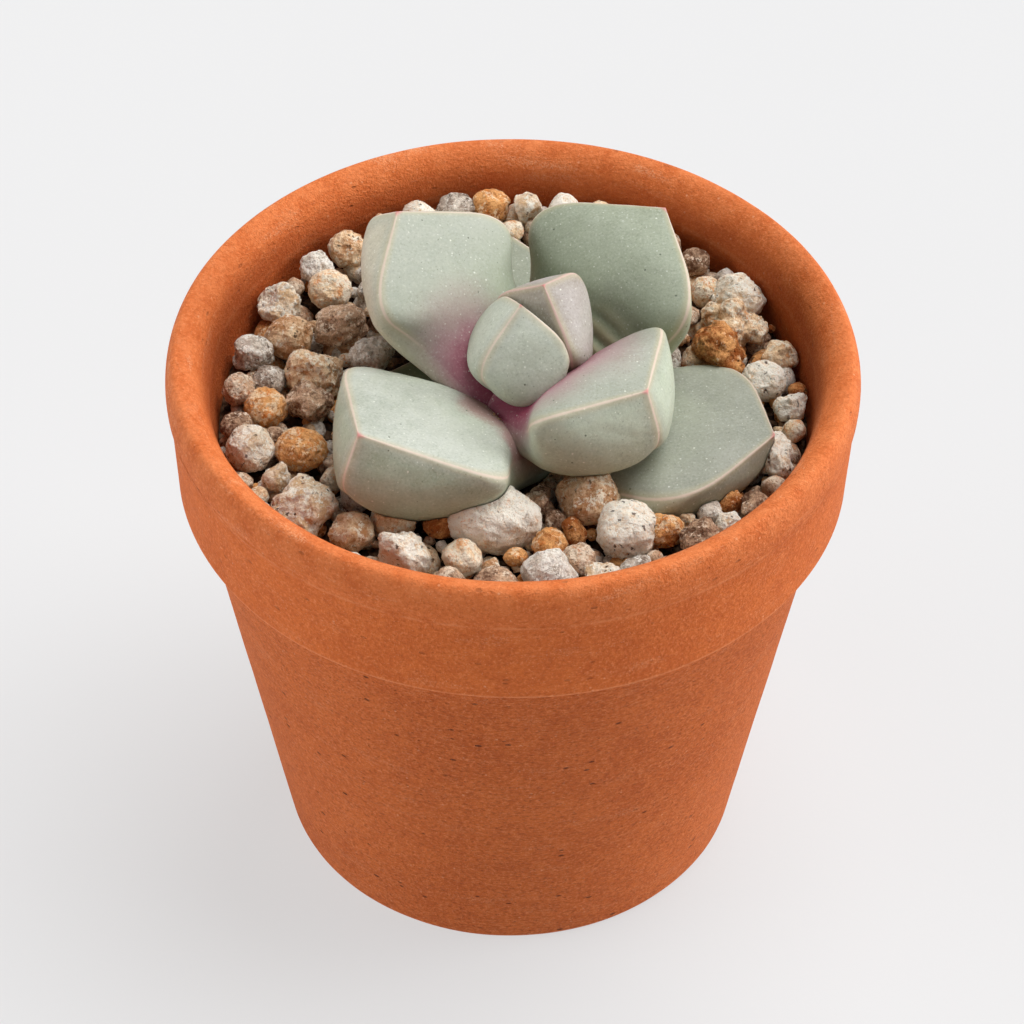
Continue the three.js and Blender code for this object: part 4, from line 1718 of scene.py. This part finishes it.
    @staticmethod
    def any_way(draw: Iterator[float]) -> Vector:
        """Choose a direction by chance.

        Args:
            draw: The row of chances.

        Returns:
            The direction, with a length of 1.
        """
        turn, up = next(draw) * FULL_TURN, next(draw) * 2 - 1
        flat = math.sqrt(1 - up * up)
        return Vector((math.cos(turn) * flat, math.sin(turn) * flat, up))

    def cluster(self, stone: bpy.types.Object, draw: Iterator[float]) -> bpy.types.Object:
        """Cluster round lumps on a ball.

        Args:
            stone: The ball.
            draw: The row of chances for the lumps.

        Returns:
            The lumps and the ball, joined.
        """
        cast = self.cast_radius * MM
        lumps = [stone]
        for _ in range(self.clump_lumps):
            place = self.any_way(draw) * self.lump_distance * cast
            radius = (self.lump_radius + self.lump_spread * next(draw)) * cast
            bpy.ops.mesh.primitive_ico_sphere_add(subdivisions=3, radius=radius, location=place)
            lumps.append(bpy.context.object)
        Bench.reshape(stone.data, Bench.points(stone.data) * self.clump_core)
        return Bench.join(stone.name, lumps)

    def chip(self, form: StoneForm, draw: Iterator[float]) -> None:
        """Cut flats from the ball that is active.

        Args:
            form: Angular stones have more flats, and deeper ones.
            draw: The row of chances for the flats.
        """
        cast = self.cast_radius * MM
        shaping = SHAPINGS[form]
        with Bench.editing():
            for _ in range(shaping.flats):
                way = self.any_way(draw)
                place = way * (shaping.nearest_flat + self.flat_spread * next(draw)) * cast
                bpy.ops.mesh.select_all(action="SELECT")
                bpy.ops.mesh.bisect(plane_co=place, plane_no=way, use_fill=True, clear_outer=True)

    def mould(self, form: StoneForm, rank: int, seed: int) -> bpy.types.Object:
        """Shape one stone of unit size to be copied.

        Args:
            form: How it is shaped.
            rank: 0 for the finest.
            seed: Chance of its shape.

        Returns:
            The stone, cast large at the origin.
        """
        draw = chances(seed)
        fineness = self.ranks[rank]
        cast = self.cast_radius
        Bench.clear()
        bpy.ops.mesh.primitive_ico_sphere_add(subdivisions=4, radius=cast * MM)
        stone = Bench.named(f"mould_{form.value}_{rank}")
        if form is CLUMP:
            stone = self.cluster(stone, draw)
        else:
            self.chip(form, draw)
        Bench.finish(stone, "REMESH", mode="VOXEL", voxel_size=fineness.voxel * cast * MM)
        Bench.finish(stone, "SMOOTH", factor=0.6, iterations=1 if form is CLUMP else fineness.smoothings)
        rough = SHAPINGS[form].roughness * cast
        for size, share, texture, coarsest in self.roughenings:
            if rank <= coarsest:
                Bench.roughen(stone, size * cast, rough * share, texture)
        return stone

    def mould_all(self) -> None:
        """Shape the moulds of every form and fineness."""
        for rank, fineness in enumerate(self.ranks):
            for form in (ROUNDED, ANGULAR) + ((CLUMP,) if rank == 0 else ()):
                count = self.clumps if form is CLUMP else fineness.moulds
                seeds = [31 * rank + 7 * k + len(form.value) for k in range(count)]
                self.moulds[(form, rank)] = [self.mould(form, rank, seed) for seed in seeds]

    def lay(self, number: int, stone: Stone, room: BVHTree) -> bpy.types.Object | None:
        """Copy a mould to a stone's place, clear of the wall and the leaves.

        Args:
            number: The stone's number.
            stone: The stone.
            room: The leaves.

        Returns:
            The stone, or nothing where a leaf takes its whole place.
        """
        draw = chances(number * 97 + 13)
        moulds = self.moulds[(stone.form, stone.rank)]
        source = moulds[number % len(moulds)]
        points = self.in_place(stone, Bench.points(source.data), draw)
        middle = Vector((stone.x, stone.y, stone.z)) * MM
        leaf = room.ray_cast(middle + Vector((0, 0, ABOVE_ALL * MM)), Vector((0, 0, -1)))[0]
        stone_top = middle.z + self.top_share * stone.size * MM
        if stone.rank > 0 and leaf is not None and leaf.z < stone_top:
            return None
        if room.find_nearest(middle)[3] < stone.size * MM:
            pressed = self.press(points, room)
            if pressed > self.most_pressed * len(points):
                return None
        mesh = source.data.copy()
        copy = bpy.data.objects.new(f"stone_{number}", mesh)
        bpy.context.scene.collection.objects.link(copy)
        Bench.reshape(mesh, points)
        Bench.keep(mesh, "tone", np.full(len(points), next(draw) * 2 - 1))
        return copy

    def in_place(self, stone: Stone, points: np.ndarray, draw: Iterator[float]) -> np.ndarray:
        """Turn, stretch and place a mould's points, inside the pot's wall.

        Args:
            stone: The stone.
            points: The mould's points.
            draw: The row of chances for the mould's own turn.

        Returns:
            The stone's points in millimetres.
        """
        first_z, first_x = (Matrix.Rotation(next(draw) * FULL_TURN, 3, axis) for axis in "ZX")
        then_x, then_y, then_z = (Matrix.Rotation(turn, 3, axis) for turn, axis in zip(stone.turn, "XYZ"))
        points = (points / np.abs(points).max(axis=0).mean()) @ np.array(first_z @ first_x).T
        points = points * np.array(stone.stretch) * (stone.size / 2)
        points = points @ np.array(then_z @ then_y @ then_x).T
        points = points + (stone.x, stone.y, stone.z)
        height = np.clip(points[:, 2], 0, None)
        bore = np.minimum(self.bore.bore_at_foot + self.bore.bore_taper * height, self.bore.bore_radius)
        wall = bore - self.gap
        far = np.hypot(points[:, 0], points[:, 1])
        points[:, :2] *= np.where(far > wall, wall / far, 1)[:, None]
        return points

    def press(self, points: np.ndarray, room: BVHTree) -> int:
        """Press a stone's points out of the leaves that it lies against.

        Args:
            points: The stone's points, which are moved.
            room: The leaves.

        Returns:
            How many points were moved.
        """
        moved = 0
        for i, point in enumerate(points):
            here = Vector(point) * MM
            place, normal, _, _ = room.find_nearest(here)
            if (here - place).dot(normal) < LEAF_TOUCH * MM:
                clear = -self.tucked_in_leaf if normal.z > UPWARD else self.clear_of_leaf
                points[i] = np.array(place + normal * clear * MM) / MM
                moved += 1
        return moved

    def build_bed(self) -> bpy.types.Object:
        """Turn, slope and roughen the gritty bed that the stones lie in.

        Returns:
            The bed.
        """
        top = self.bed_level - self.bed_sunk
        edge = self.bore.bore(self.bottom) - self.gap - 0.05
        rim = self.bore.bore(top) - self.gap - 0.1
        profile = [(0.0, self.bottom), (edge, self.bottom), (rim, top)]
        profile += [(rim * (1 - k / self.bed_rings), top) for k in range(1, self.bed_rings + 1)]
        bed = Bench.turn("gravel_bed", profile, self.bed_steps)
        points = Bench.points(bed.data)
        points[:, 2] += np.where(points[:, 2] > top - 0.5, self.bank(points[:, 1]), 0)
        Bench.reshape(bed.data, points)
        for size, height in self.bed_roughenings:
            Bench.roughen(bed, size, height)
        Bench.smooth(bed, degrees=60)
        return bed

    def build(self, rosette: Rosette) -> None:
        """Lay and dress all the stones and their bed.

        Args:
            rosette: The leaves that the stones lie against.
        """
        self.mould_all()
        room = rosette.room()
        sorts: dict[StoneKind, list[bpy.types.Object]] = {kind: [] for kind in StoneKind}
        for number, stone in enumerate(self.layers()):
            laid = self.lay(number, stone, room)
            if laid is not None:
                sorts[stone.kind].append(laid)
        for kind, stones in sorts.items():
            piece = Bench.join(f"gravel_{kind.value}", stones)
            Bench.hold(piece)
            bpy.ops.object.shade_smooth()
            Bench.hand_over(piece, STONE_FINISHES[kind].make(), "pumice", ["gravel"])
            LOG.info("%-20s %7d stones", piece.name, len(stones))
        dark_grit = Crumbs("dark_grit", paint(104, 78, 58), paint(44, 31, 23))
        Bench.hand_over(self.build_bed(), dark_grit.make(), "pumice", ["gravel"])
        for moulds in self.moulds.values():
            for mould in moulds:
                bpy.data.objects.remove(mould, do_unlink=True)


# ---------------------------------------------------------------- studio
@dataclass(frozen=True)
class SoftLight:
    """One soft light: its bearing and height in degrees, its strength and how wide it looks in degrees."""

    name: str
    bearing: float
    height: float
    strength: float
    width: float


@dataclass
class Studio:
    """The paper, the soft lights and the camera."""

    focal_pixels: float = 4000.0
    frame_pixels: float = 1024.0
    sensor: float = 36.0
    elevation: float = 44.1
    roll: float = 0.42
    distance: float = 480.0
    target_height: float = 40.0
    target_offset: tuple[float, float] = (0.27, 31.2)
    clipping: tuple[float, float] = (0.01, 20)
    paper_radius: float = 4.0
    paper_border: float = 3.6
    lamp_distance: float = 0.6
    sky: float = 0.2
    lights: Sequence[SoftLight] = (
        SoftLight("key_softbox", 38, 66, 3.0, 50),
        SoftLight("right_softbox", 2, 17, 1.9, 40),
        SoftLight("left_softbox", 188, 12, 1.6, 40),
    )
    paper: Paper = field(default_factory=Paper)

    def build(self) -> None:
        """Set up everything that isn't the object."""
        self.lay_paper()
        self.light()
        self.point_camera()
        bpy.context.scene.view_settings.view_transform = "Standard"

    def lay_paper(self) -> None:
        """A wide round sheet of paper at the pot's foot."""
        Bench.clear()
        bpy.ops.mesh.primitive_circle_add(vertices=96, radius=self.paper_radius, fill_type="NGON")
        floor = Bench.named("paper_floor")
        with Bench.editing():
            bpy.ops.mesh.inset(thickness=self.paper_border)
        Bench.mend(floor)
        floor.data.materials.append(self.paper.make())

    def lamp(self, soft: SoftLight) -> None:
        """Hang one far soft light that shines on the pot.

        Args:
            soft: Where it hangs and how bright and wide it is.
        """
        data = bpy.data.lights.new(soft.name, "SUN")
        data.energy = soft.strength
        data.angle = math.radians(soft.width)
        lamp = bpy.data.objects.new(soft.name, data)
        a, b = math.radians(soft.bearing), math.radians(soft.height)
        way = Vector((math.cos(b) * math.cos(a), math.cos(b) * math.sin(a), math.sin(b)))
        lamp.rotation_euler = way.to_track_quat("Z", "Y").to_euler()
        lamp.location = way * self.lamp_distance
        bpy.context.scene.collection.objects.link(lamp)

    def light(self) -> None:
        """A white room and its soft lights."""
        world = bpy.data.worlds.new("white_room")
        world.use_nodes = True
        background = world.node_tree.nodes["Background"]
        background.inputs["Color"].default_value = (1.0, 1.0, 1.0, 1.0)
        background.inputs["Strength"].default_value = self.sky
        bpy.context.scene.world = world
        for soft in self.lights:
            self.lamp(soft)

    def point_camera(self) -> None:
        """Place the camera and make it the scene's."""
        tilt, roll = math.radians(self.elevation), math.radians(self.roll)
        back = Vector((0, -math.cos(tilt), math.sin(tilt)))
        right = Vector((1, 0, 0))
        up = right.cross(-back)
        side = right * math.cos(roll) + up * math.sin(roll)
        over = up * math.cos(roll) - right * math.sin(roll)
        across, above = self.target_offset
        aim = (-back * self.focal_pixels + side * across + over * above).normalized()
        x = aim.cross(over).normalized()
        z = -aim
        y = z.cross(x)
        data = bpy.data.cameras.new("camera")
        data.sensor_fit = "HORIZONTAL"
        data.sensor_width = self.sensor
        data.lens = self.focal_pixels / self.frame_pixels * self.sensor
        data.clip_start, data.clip_end = self.clipping
        camera = bpy.data.objects.new("camera", data)
        turn = Matrix((x, y, z)).transposed().to_4x4()
        place = Vector((0, 0, self.target_height)) * MM + back * self.distance * MM
        camera.matrix_world = Matrix.Translation(place) @ turn
        bpy.context.scene.collection.objects.link(camera)
        bpy.context.scene.camera = camera


# ---------------------------------------------------------------- all together
def dress_hidden_nodes() -> None:
    """Give the root and the potting mix, which stay as they are, their finishes."""
    finishes = {
        "potting_mix": Crumbs("potting_earth", paint(96, 72, 54), paint(40, 28, 20)).make(),
        "root": Bark().make(),
    }
    for name, material in finishes.items():
        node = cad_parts[name]
        node.data.materials.clear()
        node.data.materials.append(material)
        LOG.info("%-20s dressed", name)


def main() -> None:
    """Build the plant, its pot and the studio."""
    logging.basicConfig(level=logging.INFO, format="%(message)s")
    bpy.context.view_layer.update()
    Studio().build()
    pot = Pot()
    pot.build()
    rosette = Rosette()
    rosette.build()
    DriedSheath().build()
    Dressing(pot).build(rosette)
    dress_hidden_nodes()
    Bench.clear()


if __name__ == "__main__":
    main()
